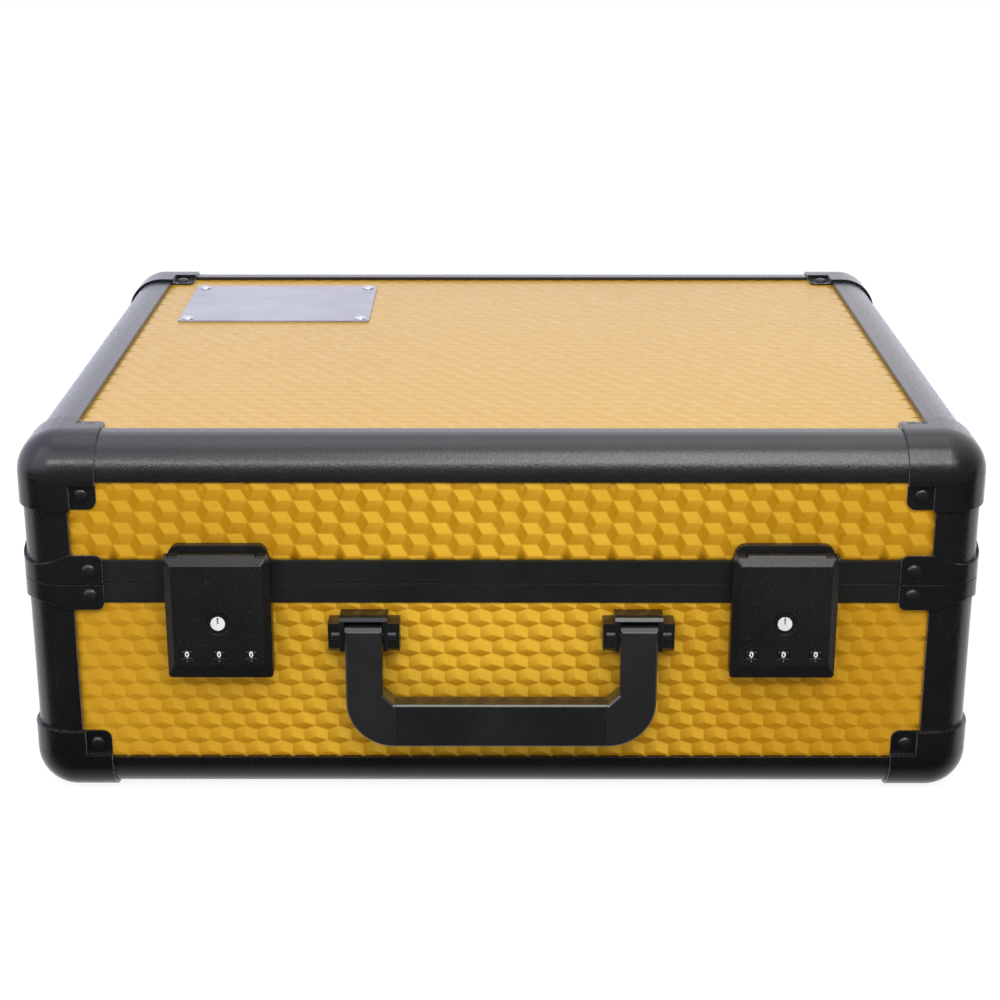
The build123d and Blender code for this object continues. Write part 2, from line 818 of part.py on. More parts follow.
def latch_flap(x):
    """A latch flap: the bevelled cover with its hinge barrel, wheel windows and key boss."""
    shell = flap_shell(x)
    pin_y = front_y(flap_pin_out)
    half = flap_width / 2
    barrel_half = half - flap_barrel_inset
    barrel = rod_x(x - barrel_half, x + barrel_half, pin_y, flap_pin_z, flap_barrel_radius)
    past_top = flap_high + cut_past
    behind = block((x - half - cut_past, x + half + cut_past), (pin_y, front_y(0)), (flap_pin_z, past_top))
    flap = shell - behind + barrel
    reach = flap_lug_radius + passing_gap
    for sign in (-1, 1):
        x0 = x + sign * flap_lug_centre - flap_lug_width / 2 - passing_gap
        x1 = x0 + flap_lug_width + 2 * passing_gap
        flap -= rod_x(x0, x1, pin_y, flap_pin_z, reach)
        flap -= block((x0, x1), (pin_y, front_y(0)), (flap_pin_z - reach, past_top))
        flap -= block((x0, x1), (pin_y - reach, front_y(0)), (flap_pin_z, past_top))
    bore = flap_pin_radius + running_play
    flap -= rod_x(x - half - cut_past, x + half + cut_past, pin_y, flap_pin_z, bore)
    flap = with_wheel_ribs(flap, x)
    inner_face = flap_front - flap_wall
    key_boss = front_plane(x, key_boss_back, key_z) * Circle(key_ring_radius)
    flap += extrude(key_boss, inner_face + fuse_depth - key_boss_back)
    key_bore = front_plane(x, key_boss_back - cut_past, key_z) * Circle(key_radius + running_play)
    flap -= extrude(key_bore, flap_front)
    ring = front_plane(x, flap_front - key_ring_depth, key_z) * Circle(key_ring_radius)
    flap -= extrude(ring, key_ring_depth + cut_past)
    passage_x = (x + hook_lip_start - hook_side_gap, x + hook_end + hook_side_gap)
    passage_y = (front_y(0), front_y(hook_lip_front + hook_front_gap))
    return flap - block(passage_x, passage_y, (flap_low - cut_past, flap_low + flap_wall + cut_past))


def dial_places(x):
    """X of each number wheel of the latch centred at x."""
    return [x + (i - (dial_count - 1) / 2) * dial_pitch for i in range(dial_count)]


def dial(x):
    """A number wheel, with a groove between each two of its digits."""
    origin = (x - dial_width / 2, front_y(dial_out), dial_z)
    plane = Plane(origin=origin, x_dir=(0, 1, 0), z_dir=(1, 0, 0))
    outline = Circle(dial_radius)
    for i in range(dial_digits):
        notch = RegularPolygon(dial_groove, 4, rotation=45)
        outline -= Rot(0, 0, 360 / dial_digits * (i + 0.5)) * Pos(dial_radius, 0) * notch
    outline -= Circle(dial_axle_radius + running_play)
    return extrude(plane * outline, dial_width)


def dial_axle(x):
    """The axle through the three wheels of a latch."""
    reach = dial_pitch + dial_width / 2 + dial_rib_gap + dial_rib_thick
    return rod_x(x - reach, x + reach, front_y(dial_out), dial_z, dial_axle_radius)


def key_cylinder(x):
    """The key plug with its slot in front and its cam behind, drawn unlocked."""
    face_out = flap_front - key_recess
    plug = extrude(front_plane(x, cam_front, key_z) * Circle(key_radius), face_out - cam_front)
    slot_place = front_plane(x, flap_front - key_slot_depth, key_z + key_slot_rise)
    slot = slot_place * Rectangle(key_slot_width, key_slot_length)
    plug -= extrude(slot, key_slot_depth + cut_past)
    arm_middle = (cam_reach - cam_width / 2) / 2
    arm = Pos(0, arm_middle) * Rectangle(cam_width, cam_reach - cam_width / 2)
    cam = Circle(key_radius) + arm + Pos(0, cam_reach - cam_width / 2) * Circle(cam_width / 2)
    return plug + extrude(front_plane(x, cam_back, key_z) * cam, cam_front - cam_back)


def latch_keeper(x):
    """The plate of a latch on the base, with the hook that the cam turns behind."""
    band_edge = seam - base_band - channel_play
    plate = band_flange + mount_sheet
    low = flap_low - keeper_foot_drop
    profile = [
        (front_y(0), low), (front_y(plate), low), (front_y(plate), base_top),
        (front_y(band_flange), base_top), (front_y(band_flange), band_edge), (front_y(0), band_edge),
    ]
    body = bar_x(profile, x - mount_width / 2, x + mount_width / 2)
    tall = base_top - low + 2 * mount_round
    outline = front_plane(x, -cut_past, low + tall / 2) * RectangleRounded(mount_width, tall, mount_round)
    body &= extrude(outline, plate + 2 * cut_past)
    cut_x = (x - keeper_notch_half, x + keeper_notch_half)
    through = (front_y(-cut_past), front_y(plate + cut_past))
    body -= block(cut_x, through, (low - cut_past, low + keeper_notch_rise))
    hook_z = (key_z - hook_half, key_z + hook_half)
    post_y = (front_y(plate - fuse_depth), front_y(hook_lip_front))
    lip_y = (front_y(hook_lip_back), front_y(hook_lip_front))
    body += block((x + hook_post, x + hook_end), post_y, hook_z)
    return body + block((x + hook_lip_start, x + hook_end), lip_y, hook_z)


stay_wall = side - panel_inner
stay_bracket_face = stay_wall - stay_bracket_thick
lower_outer = stay_bracket_face - stay_gap
lower_inner = lower_outer - stay_link_thick
upper_outer = lower_inner - stay_gap
upper_inner = upper_outer - stay_link_thick
stay_p = (hinge_y - stay_base_back, seam - stay_base_drop)
stay_q = (hinge_y - stay_lid_back, seam + stay_lid_rise)
stay_k = (hinge_y - stay_base_back - stay_lid_back, seam - stay_base_drop + stay_lid_rise)


def stay_rod(sign, inner, outer, at, radius):
    """A round piece of a stay between two distances from the middle of the case."""
    return rod_x(min(sign * inner, sign * outer), max(sign * inner, sign * outer), at[0], at[1], radius)


def stay_link(sign, start, end, inner, outer):
    """A flat link with round ends between two pivots."""
    plane = Plane(origin=(min(sign * inner, sign * outer), 0, 0), x_dir=(0, 1, 0), z_dir=(1, 0, 0))
    length = math.dist(start, end)
    angle = math.degrees(math.atan2(end[1] - start[1], end[0] - start[0]))
    middle = Pos((start[0] + end[0]) / 2, (start[1] + end[1]) / 2)
    flat = middle * Rot(0, 0, angle) * SlotCenterToCenter(length, 2 * stay_link_half)
    return extrude(plane * flat, outer - inner)


def stay_lower_link(sign):
    """The link on the base, with the knee rivet that it carries."""
    link = stay_link(sign, stay_p, stay_k, lower_inner, lower_outer)
    bore = stay_pin_radius + running_play
    link -= stay_rod(sign, lower_inner - cut_past, lower_outer + cut_past, stay_p, bore)
    link += stay_rod(sign, upper_inner - stay_gap, lower_inner, stay_k, stay_pin_radius)
    head = upper_inner - stay_gap
    return link + stay_rod(sign, head - stay_head_thick, head, stay_k, stay_head_radius)


def stay_upper_link(sign):
    """The link on the lid, bored for the knee rivet and, wider, for the lid's rivet."""
    link = stay_link(sign, stay_k, stay_q, upper_inner, upper_outer)
    through = (upper_inner - cut_past, upper_outer + cut_past)
    link -= stay_rod(sign, *through, stay_k, stay_pin_radius + running_play)
    return link - stay_rod(sign, *through, stay_q, stay_open_bore)


def stay_base_bracket(sign):
    """The plate and rivet that carry a stay on the base's side panel."""
    half = stay_bracket_half
    wall = (sign * stay_bracket_face, sign * stay_wall)
    plate_z = (stay_p[1] - half - stay_bracket_foot, stay_p[1] + half)
    plate = block(wall, (stay_p[0] - half, stay_p[0] + half), plate_z)
    plate += stay_rod(sign, lower_inner - stay_gap / 2, stay_bracket_face, stay_p, stay_pin_radius)
    head = lower_inner - stay_gap / 2
    return plate + stay_rod(sign, head - stay_head_thick, head, stay_p, stay_head_radius)


def stay_lid_bracket(sign):
    """The plate, spacer and rivet that carry a stay on the lid's side panel."""
    half = stay_bracket_half
    wall = (sign * stay_bracket_face, sign * stay_wall)
    plate_z = (seam + lid_band + channel_play, stay_q[1] + half + stay_bracket_foot)
    plate = block(wall, (stay_q[0] - half, stay_q[0] + half), plate_z)
    plate += stay_rod(sign, upper_outer + stay_gap, stay_bracket_face, stay_q, stay_spacer_radius)
    plate += stay_rod(sign, upper_inner - stay_gap, upper_outer + stay_gap, stay_q, stay_pin_radius)
    head = upper_inner - stay_gap
    return plate + stay_rod(sign, head - stay_head_thick, head, stay_q, stay_head_radius)


foam_x = side - flange_inner - foam_play
foam_front = front + flange_inner + foam_play
foam_rear = rear - flange_inner - foam_play
floor_top = rail_low + flange_inner + foam_play + floor_pad
row_top = seam - row_wall_drop
lid_pad_high = rail_high - flange_inner - foam_play
lid_pad_low = lid_pad_high - lid_pad
notch_x = foam_x - stay_room
notch_y = hinge_y - stay_room_length
row_pitch = row_width + row_wall
row_count = int((2 * (notch_x - side_wall_min) + row_wall) // row_pitch)
rows_half = (row_count * row_pitch - row_wall) / 2


def stay_notched(x0, x1, y0, y1, z0, z1):
    """A foam wall along one side, kept clear of the stay towards the hinge."""
    edge = math.copysign(notch_x, x0)
    return [block((x0, x1), (y0, notch_y), (z0, z1)), block((edge, x1), (notch_y + foam_play, y1), (z0, z1))]


def foam_row_walls():
    """The walls between the rows, and the two side walls."""
    y0 = foam_front + end_wall + foam_play
    y1 = foam_rear - end_wall - foam_play
    z = (floor_top + foam_play, row_top)
    walls = []
    for i in range(1, row_count):
        x = -rows_half + i * row_pitch - row_wall / 2
        walls.append(block((x - row_wall / 2, x + row_wall / 2), (y0, y1), z))
    for sign in (-1, 1):
        walls.extend(stay_notched(sign * foam_x, sign * rows_half, y0, y1, *z))
    return walls


def foam_end_walls():
    """The walls at the front and the back of the rows."""
    z = (floor_top + foam_play, row_top)
    front_wall = block((-foam_x, foam_x), (foam_front, foam_front + end_wall), z)
    rear_wall = block((-notch_x, notch_x), (foam_rear - end_wall, foam_rear), z)
    return [front_wall, rear_wall]


def foam_floor_pad():
    """The pad under the rows, resting on the inner flanges of the bottom rails."""
    return block((-foam_x, foam_x), (foam_front, foam_rear), (floor_top - floor_pad, floor_top))


def lid_foam_pad():
    """The pad above the slabs."""
    front_part = block((-foam_x, foam_x), (foam_front, notch_y), (lid_pad_low, lid_pad_high))
    rear_part = block((-notch_x, notch_x), (notch_y, foam_rear), (lid_pad_low, lid_pad_high))
    return front_part + rear_part


def lid_foam_border():
    """The foam walls round the inside of the lid."""
    z = (seam + row_wall_drop, lid_pad_low - foam_play)
    y0 = foam_front + lid_border + foam_play
    y1 = foam_rear - lid_border - foam_play
    walls = [
        block((-foam_x, foam_x), (foam_front, foam_front + lid_border), z),
        block((-notch_x, notch_x), (foam_rear - lid_border, foam_rear), z),
    ]
    for sign in (-1, 1):
        walls.extend(stay_notched(sign * foam_x, sign * (foam_x - lid_border), y0, y1, *z))
    return walls


def save(node, shape):
    """Write one node, made of one solid or of a list of separate solids."""
    if isinstance(shape, (list, tuple)):
        shape = Compound(children=[s for piece in shape for s in piece.solids()])
    shape.label = node
    export_step(shape, f"parts/{node}.step")


panel_low = rail_low + panel_edge
panel_high = rail_high - panel_edge
post_low = rail_low + rail_rise
post_high = rail_high - rail_rise

save("base_floor_panel", flat_panel(rail_low, 1))
save("base_front_panel", front_panel(panel_low, base_panel_top))
save("base_back_panel", back_panel(panel_low, base_panel_top))
save("base_side_panels", side_panels(panel_low, base_panel_top))
save("base_bottom_rails", level_rails(rail_low, 1))
save("base_corner_posts", corner_posts(post_low, base_top))
save("base_seam_frame", frame_bars(base_frame_section()))
save("base_ball_corners", ball_corners(rail_low, -1))
save("base_corner_wraps", corner_wraps(1, base_wrap_height))
save("base_rivets", rivets(rail_low, -1, seam - base_wrap_rivet_drop) + hinge_rivets(-1))

save("lid_top_panel", flat_panel(rail_high, -1))
save("lid_front_panel", front_panel(lid_panel_bottom, panel_high))
save("lid_back_panel", back_panel(lid_panel_bottom, panel_high))
save("lid_side_panels", side_panels(lid_panel_bottom, panel_high))
save("lid_top_rails", level_rails(rail_high, -1))
save("lid_corner_posts", corner_posts(lid_bottom, post_high))
save("lid_seam_frame", frame_bars(lid_frame_section()))
save("lid_ball_corners", ball_corners(rail_high, 1))
save("lid_corner_wraps", corner_wraps(-1, lid_wrap_height))
save("lid_rivets", rivets(rail_high, 1, seam + lid_wrap_rivet_rise) + hinge_rivets(1))
save("badge_plate", badge_plate())
save("badge_screws", badge_screws())

save("hinge_base_leaves", [hinge_leaf(x, -1) for x in hinge_places])
save("hinge_lid_leaves", [hinge_leaf(x, 1) for x in hinge_places])
save("hinge_pins", [hinge_pin(x) for x in hinge_places])
save("base_rear_feet", rear_feet(rail_low + foot_rise))
save("lid_rear_feet", rear_feet(rail_high - foot_rise))

save("handle_brackets", [handle_bracket(sign) for sign in (-1, 1)])
save("handle_pins", [handle_pin(sign) for sign in (-1, 1)])
save("handle_arms", [handle_arm(sign) for sign in (-1, 1)])
save("handle_grip", handle_grip())

save("latch_lid_mounts", [latch_mount(x) for x in (left_latch, right_latch)])
save("latch_hinge_pins", [latch_pin(x) for x in (left_latch, right_latch)])
save("latch_keepers", [latch_keeper(x) for x in (left_latch, right_latch)])
for name, x in (("left", left_latch), ("right", right_latch)):
    save(f"{name}_latch_flap", latch_flap(x))
    save(f"{name}_dial_axle", dial_axle(x))
    save(f"{name}_key_cylinder", key_cylinder(x))
    for number, place in enumerate(dial_places(x), 1):
        save(f"{name}_dial_{number}", dial(place))

save("stay_base_brackets", [stay_base_bracket(sign) for sign in (-1, 1)])
save("stay_lid_brackets", [stay_lid_bracket(sign) for sign in (-1, 1)])
for name, sign in (("left", -1), ("right", 1)):
    save(f"{name}_stay_lower_link", stay_lower_link(sign))
    save(f"{name}_stay_upper_link", stay_upper_link(sign))

save("foam_floor_pad", foam_floor_pad())
save("foam_row_walls", foam_row_walls())
save("foam_end_walls", foam_end_walls())
save("lid_foam_pad", lid_foam_pad())
save("lid_foam_border", lid_foam_border())
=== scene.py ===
import math

import bmesh
import bpy
from mathutils import Matrix, Vector, noise


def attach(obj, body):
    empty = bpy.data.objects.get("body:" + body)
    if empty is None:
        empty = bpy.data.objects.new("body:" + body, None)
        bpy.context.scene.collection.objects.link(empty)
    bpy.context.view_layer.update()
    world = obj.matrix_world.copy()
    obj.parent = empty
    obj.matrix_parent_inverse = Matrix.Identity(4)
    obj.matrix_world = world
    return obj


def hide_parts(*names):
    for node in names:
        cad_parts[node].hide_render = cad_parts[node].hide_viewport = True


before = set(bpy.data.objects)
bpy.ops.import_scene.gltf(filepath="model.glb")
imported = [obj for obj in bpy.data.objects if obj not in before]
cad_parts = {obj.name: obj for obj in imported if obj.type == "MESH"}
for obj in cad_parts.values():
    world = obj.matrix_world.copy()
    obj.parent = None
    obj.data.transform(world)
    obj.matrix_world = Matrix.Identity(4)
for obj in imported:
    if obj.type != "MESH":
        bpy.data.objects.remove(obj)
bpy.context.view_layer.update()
scene = bpy.context.scene
MM = 0.001
noise.seed_set(1)  # noise_vector would otherwise follow the clock, and the foam differ from run to run

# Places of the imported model, in millimetres
PANEL_FRONT = -177.7
PANEL_BACK = 183.3
PANEL_SIDE = 224.0
PANEL_TOP = 178.2
PANEL_FLOOR = 3.8
SEEN_X = 202.3
SEEN_Y = (-156.0, 161.6)
BASE_Z = (20.7, 101.2)
LID_Z = (122.2, 161.3)
LATCH_X = 132.7
CASE_MIDDLE = (0.0, 0.0028, 0.0908)  # in metres, as the shaders use it

# The camera fitted to the photo, in metres, degrees and millimetres of lens
CAMERA_PLACE = (0.00053, -1.08192, 0.46411)
CAMERA_PITCH = 19.0445
CAMERA_YAW = -0.0738
CAMERA_LENS = 74.04
CAMERA_SENSOR = 36.0

# The floor's half width in metres, and how much of what the camera sees of it glows
FLOOR_HALF = 6.0
GLOW_SHARE = 0.80


# ---------------------------------------------------------------- camera, floor, world, lamps

def make_camera():
    """The photo's camera."""
    pitch, yaw = math.radians(CAMERA_PITCH), math.radians(CAMERA_YAW)
    ahead = Vector((math.sin(yaw) * math.cos(pitch), math.cos(yaw) * math.cos(pitch), -math.sin(pitch)))
    data = bpy.data.cameras.new("view")
    data.sensor_width = CAMERA_SENSOR
    data.lens = CAMERA_LENS
    camera = bpy.data.objects.new("view", data)
    scene.collection.objects.link(camera)
    camera.location = CAMERA_PLACE
    camera.rotation_mode = "QUATERNION"
    camera.rotation_quaternion = ahead.to_track_quat("-Z", "Y")
    scene.camera = camera


def lamp(name, place, aim, size, watts, tint):
    """A rectangular area lamp that shines at a point."""
    data = bpy.data.lights.new(name, "AREA")
    data.shape = "RECTANGLE"
    data.size, data.size_y = size
    data.energy = watts
    data.color = tint
    obj = bpy.data.objects.new(name, data)
    scene.collection.objects.link(obj)
    obj.location = place
    obj.rotation_mode = "QUATERNION"
    obj.rotation_quaternion = (Vector(aim) - Vector(place)).to_track_quat("-Z", "Y")


class Nodes:
    """A node tree with short calls for the nodes used here."""

    def __init__(self, tree):
        self.tree = tree
        self.tree.nodes.clear()

    def add(self, kind, **settings):
        node = self.tree.nodes.new("ShaderNode" + kind)
        for key, value in settings.items():
            setattr(node, key, value)
        return node

    def link(self, source, target):
        self.tree.links.new(source, target)

    def put(self, value, target):
        """A number, a colour or another node's output into a socket."""
        if isinstance(value, bpy.types.NodeSocket):
            self.link(value, target)
        else:
            target.default_value = value

    def math(self, operation, a, b, clamp=False):
        node = self.add("Math", operation=operation, use_clamp=clamp)
        self.put(a, node.inputs[0])
        self.put(b, node.inputs[1])
        return node.outputs[0]

    def vector(self, operation, a, b):
        node = self.add("VectorMath", operation=operation)
        self.put(a, node.inputs[0])
        self.put(b, node.inputs[1])
        return node.outputs["Value"] if operation == "DOT_PRODUCT" else node.outputs[0]

    def ranged(self, value, low, high, to_low, to_high):
        node = self.add("MapRange")
        for i, x in enumerate((value, low, high, to_low, to_high)):
            self.put(x, node.inputs[i])
        return node.outputs[0]

    def mix(self, share, a, b):
        node = self.add("Mix", data_type="RGBA")
        self.put(share, node.inputs[0])
        self.put(a, node.inputs[6])
        self.put(b, node.inputs[7])
        return node.outputs[2]

    def blend(self, share, a, b):
        """Two shaders mixed by a number or by another node's output."""
        node = self.add("MixShader")
        self.put(share, node.inputs[0])
        self.link(a.outputs[0], node.inputs[1])
        self.link(b.outputs[0], node.inputs[2])
        return node

    def place(self, stretch=(1.0, 1.0, 1.0)):
        """Coordinates that stay with the piece, in metres, stretched along its axes."""
        where = self.add("TexCoord").outputs["Object"]
        if stretch == (1.0, 1.0, 1.0):
            return where
        return self.vector("MULTIPLY", where, stretch)

    def noise(self, scale, detail=2.0, roughness=0.5, where=None):
        node = self.add("TexNoise")
        node.inputs["Scale"].default_value = scale
        node.inputs["Detail"].default_value = detail
        node.inputs["Roughness"].default_value = roughness
        self.link(where or self.place(), node.inputs["Vector"])
        return node.outputs[0]

    def cells(self, scale, where=None):
        node = self.add("TexVoronoi", feature="F1")
        node.inputs["Scale"].default_value = scale
        self.link(where or self.place(), node.inputs["Vector"])
        return node.outputs[0]

    def bump(self, height, strength, distance, normal=None):
        node = self.add("Bump")
        node.inputs["Strength"].default_value = strength
        node.inputs["Distance"].default_value = distance
        self.link(height, node.inputs["Height"])
        if normal is not None:
            self.link(normal, node.inputs["Normal"])
        return node.outputs[0]


def colour(*rgb):
    return (*rgb, 1.0)


def make_world():
    """Plain white to the camera, and a soft studio gradient to everything else."""
    world = bpy.data.worlds.new("studio")
    scene.world = world
    world.use_nodes = True
    n = Nodes(world.node_tree)
    out = n.add("OutputWorld")
    way = n.add("TexCoord").outputs["Generated"]
    path = n.add("LightPath")
    parts = n.add("SeparateXYZ")
    n.link(way, parts.inputs[0])
    # what shiny surfaces see: pale behind, above and to the left, darker where the camera stands
    behind = n.math("MULTIPLY", parts.outputs[1], 0.55)
    above = n.math("MULTIPLY", parts.outputs[2], 0.45)
    beside = n.math("MULTIPLY", parts.outputs[0], -0.30)
    total = n.math("ADD", n.math("ADD", behind, above), beside)
    level = n.ranged(total, -0.35, 0.42, 0.24, 1.36)
    to_right = n.ranged(parts.outputs[0], -0.6, 0.5, 0.0, 1.0)
    tint = n.mix(to_right, colour(0.80, 0.81, 1.0), colour(1.0, 0.99, 0.98))
    shiny = n.add("Background")
    n.link(tint, shiny.inputs[0])
    n.link(level, shiny.inputs[1])
    soft = n.add("Background")
    soft.inputs[0].default_value = colour(0.97, 0.98, 1.0)
    n.put(n.ranged(parts.outputs[2], -0.6, 0.9, 0.22, 0.60), soft.inputs[1])
    seen = n.add("Background")
    seen.inputs[0].default_value = colour(1.0, 1.0, 1.0)
    seen.inputs[1].default_value = 1.0
    by_gloss = n.math("ADD", path.outputs["Is Glossy Ray"], path.outputs["Is Transmission Ray"], True)
    unseen = n.blend(by_gloss, soft, shiny)
    shown = n.blend(path.outputs["Is Camera Ray"], unseen, seen)
    n.link(shown.outputs[0], out.inputs[0])


def make_floor():
    """A wide floor: white with a faint shadow to the camera, grey paint to soft light."""
    bm = bmesh.new()
    bmesh.ops.create_grid(bm, x_segments=2, y_segments=2, size=FLOOR_HALF)
    mesh = bpy.data.meshes.new("floor")
    bm.to_mesh(mesh)
    bm.free()
    floor = bpy.data.objects.new("floor", mesh)
    scene.collection.objects.link(floor)
    mat = bpy.data.materials.new("floor_white")
    mat.use_nodes = True
    n = Nodes(mat.node_tree)
    out = n.add("OutputMaterial")
    path = n.add("LightPath")
    paint = n.add("BsdfDiffuse")
    paint.inputs[0].default_value = colour(0.56, 0.56, 0.57)
    seen_paint = n.add("BsdfDiffuse")
    seen_paint.inputs[0].default_value = colour(0.95, 0.95, 0.95)
    glow = n.add("Emission")
    glow.inputs[0].default_value = colour(1.0, 1.0, 1.0)
    glow.inputs[1].default_value = 1.12
    bright = n.blend(GLOW_SHARE, seen_paint, glow)
    # what shiny surfaces see of it: dark in front, pale from the case's front edge on, white behind
    spot = n.add("SeparateXYZ")
    n.link(n.place(), spot.inputs[0])
    ahead = n.ranged(spot.outputs[1], -0.90, -0.25, 0.14, 0.008)
    under = n.ranged(spot.outputs[1], -0.193, -0.167, 0.0, 0.85)
    level = n.ranged(spot.outputs[1], 0.0, 0.45, n.math("ADD", ahead, under), 1.10)
    mirrored = n.add("Emission")
    n.link(level, mirrored.inputs[1])
    unseen = n.blend(path.outputs["Is Glossy Ray"], paint, mirrored)
    shown = n.blend(path.outputs["Is Camera Ray"], unseen, bright)
    n.link(shown.outputs[0], out.inputs[0])
    mesh.materials.append(mat)


make_camera()
make_world()
make_floor()
lamp("key", (0.25, -0.95, 1.25), (0.0, -0.1, 0.12), (0.7, 0.7), 7.5, (1.0, 0.98, 0.95))
lamp("front_strip", (0.0, -1.16, 0.87), (0.0, -0.17, 0.12), (1.5, 0.16), 6.2, (1.0, 0.99, 0.98))
lamp("fill", (-1.00, -0.90, 1.00), (0.0, -0.1, 0.10), (1.3, 1.3), 5.0, (0.96, 0.97, 1.0))
lamp("top", (0.0, 0.10, 1.60), (0.0, 0.0, 0.18), (1.2, 0.9), 2.6, (0.97, 1.0, 1.0))
scene.view_settings.view_transform = "Standard"


# ---------------------------------------------------------------- materials

def surface(name):
    """A new material with its principled shader, ready for nodes."""
    mat = bpy.data.materials.new(name)
    mat.use_nodes = True
    n = Nodes(mat.node_tree)
    out = n.add("OutputMaterial")
    shader = n.add("BsdfPrincipled")
    n.link(shader.outputs[0], out.inputs[0])
    return mat, n, shader


def soft_normal(n, radius):
    """The surface's normal, with sharp edges rounded off."""
    soft = n.add("Bevel", samples=6)
    soft.inputs["Radius"].default_value = radius
    return soft.outputs[0]


def edge_share(n, soft, low):
    """1 along sharp edges and 0 on flats, from how far the rounded normal turns away."""
    plain = n.add("NewGeometry").outputs["Normal"]
    return n.ranged(n.vector("DOT_PRODUCT", soft, plain), 0.985, low, 0.0, 1.0)


def mottled(n, tone, patches, low, high):
    """One tone with darker and lighter patches."""
    dark = colour(*(c * low for c in tone))
    light = colour(*(c * high for c in tone))
    return n.mix(n.ranged(patches, 0.3, 0.7, 0.0, 1.0), dark, light)


def black_metal(
    name, tone, rough, grain, grain_depth, specular=0.5, wear=0.02, speck=0.0, coat=(0.0, 0.2), rim=0.0,
):
    """Coated black metal: a fine grain, slight patches, paler edges that are partly rubbed wear and partly
    painted highlight, and pale specks.

    Coat is the weight and the roughness of a clear coat, and rim a cool sheen at grazing angles.
    """
    mat, n, shader = surface(name)
    fine = n.noise(grain, 3.0, 0.6)
    patches = n.noise(22.0, 3.0, 0.55)
    soft = soft_normal(n, 0.00035)
    # paler edges broken by noise: partly rubbed wear, partly a painted highlight where the chamfers catch the
    # light; wear sets how strong
    rubbed_and_lit_edges = edge_share(n, soft, 0.90)
    broken = n.math("MULTIPLY", rubbed_and_lit_edges, n.ranged(n.noise(160.0, 4.0, 0.7), 0.38, 0.70, 0.0, wear), True)
    body = mottled(n, tone, patches, 0.75, 1.35)
    if speck:
        dots = n.ranged(n.noise(grain * 0.8, 1.0, 0.5), 0.62, 0.74, 0.0, speck)
        body = n.mix(dots, body, colour(*(c * 6.0 for c in tone)))
    n.link(n.mix(broken, body, colour(0.16, 0.16, 0.165)), shader.inputs["Base Color"])
    n.link(n.ranged(fine, 0.3, 0.7, rough - 0.07, rough + 0.07), shader.inputs["Roughness"])
    shader.inputs["Specular IOR Level"].default_value = specular
    n.link(n.bump(fine, 0.55, grain_depth, soft), shader.inputs["Normal"])
    shader.inputs["Coat Weight"].default_value = coat[0]
    shader.inputs["Coat Roughness"].default_value = coat[1]
    shader.inputs["Sheen Weight"].default_value = rim
    shader.inputs["Sheen Roughness"].default_value = 0.22
    shader.inputs["Sheen Tint"].default_value = colour(0.74, 0.76, 1.0)
    return mat


def gold_laminate(name, cast, sheen, coat):
    """Embossed gold film: painted shading makes each facet lighter or darker by how it faces the light, with
    fine grain and soft cloudiness.
    """
    mat, n, shader = surface(name)
    facet = n.add("Attribute", attribute_name="facet").outputs["Fac"]
    cloud = n.noise(9.0, 3.0, 0.5)
    blot = n.noise(260.0, 3.0, 0.6)
    # painted shading: each facet's stored shade picks between a shaded gold and a lit gold
    low = (0.450 * cast[0], 0.195 * cast[1], 0.0035 * cast[2])
    high = (0.840 * cast[0], 0.480 * cast[1], 0.0420 * cast[2])
    tone = n.mix(facet, colour(*low), colour(*high))
    worn = n.mix(n.ranged(blot, 0.35, 0.75, 0.0, 0.22), tone, colour(0.560, 0.280, 0.010))
    deep = n.mix(n.ranged(cloud, 0.30, 0.70, 0.0, 0.14), worn, colour(0.460, 0.215, 0.006))
    n.link(deep, shader.inputs["Base Color"])
    n.link(n.ranged(blot, 0.3, 0.7, 0.24, 0.38), shader.inputs["Roughness"])
    shader.inputs["Specular IOR Level"].default_value = 0.5
    shader.inputs["Specular Tint"].default_value = colour(*sheen)
    shader.inputs["Coat Weight"].default_value = coat
    shader.inputs["Coat Roughness"].default_value = 0.30
    n.link(n.bump(n.noise(520.0, 2.0, 0.5), 0.20, 0.00008), shader.inputs["Normal"])
    return mat


def panel_core():
    """The panels themselves: gold film on the outside, a dark lining on the inside."""
    mat, n, shader = surface("panel_core")
    where = n.add("TexCoord")
    from_middle = n.vector("SUBTRACT", where.outputs["Object"], CASE_MIDDLE)
    facing = n.vector("DOT_PRODUCT", from_middle, where.outputs["Normal"])
    inside = n.math("LESS_THAN", facing, 0.0)
    weave = n.noise(900.0, 2.0, 0.6)
    film = n.mix(n.noise(40.0, 3.0, 0.6), colour(0.56, 0.30, 0.016), colour(0.64, 0.36, 0.024))
    lining = n.mix(weave, colour(0.010, 0.010, 0.011), colour(0.035, 0.035, 0.037))
    n.link(n.mix(inside, film, lining), shader.inputs["Base Color"])
    n.link(n.ranged(inside, 0.0, 1.0, 0.38, 0.85), shader.inputs["Roughness"])
    shader.inputs["Specular IOR Level"].default_value = 0.4
    n.link(n.bump(weave, 0.35, 0.0002), shader.inputs["Normal"])
    return mat


def steel(name, tone, rough, stretch, metallic=1.0):
    """Bare or plated metal with fine lines along one direction."""
    mat, n, shader = surface(name)
    lines = n.noise(700.0, 3.0, 0.6, n.place(stretch))
    dull = n.noise(60.0, 3.0, 0.6)
    n.link(mottled(n, tone, dull, 0.72, 1.0), shader.inputs["Base Color"])
    shader.inputs["Metallic"].default_value = metallic
    n.link(n.ranged(lines, 0.3, 0.7, rough - 0.08, rough + 0.10), shader.inputs["Roughness"])
    n.link(n.bump(lines, 0.25, 0.00005, soft_normal(n, 0.0003)), shader.inputs["Normal"])
    return mat


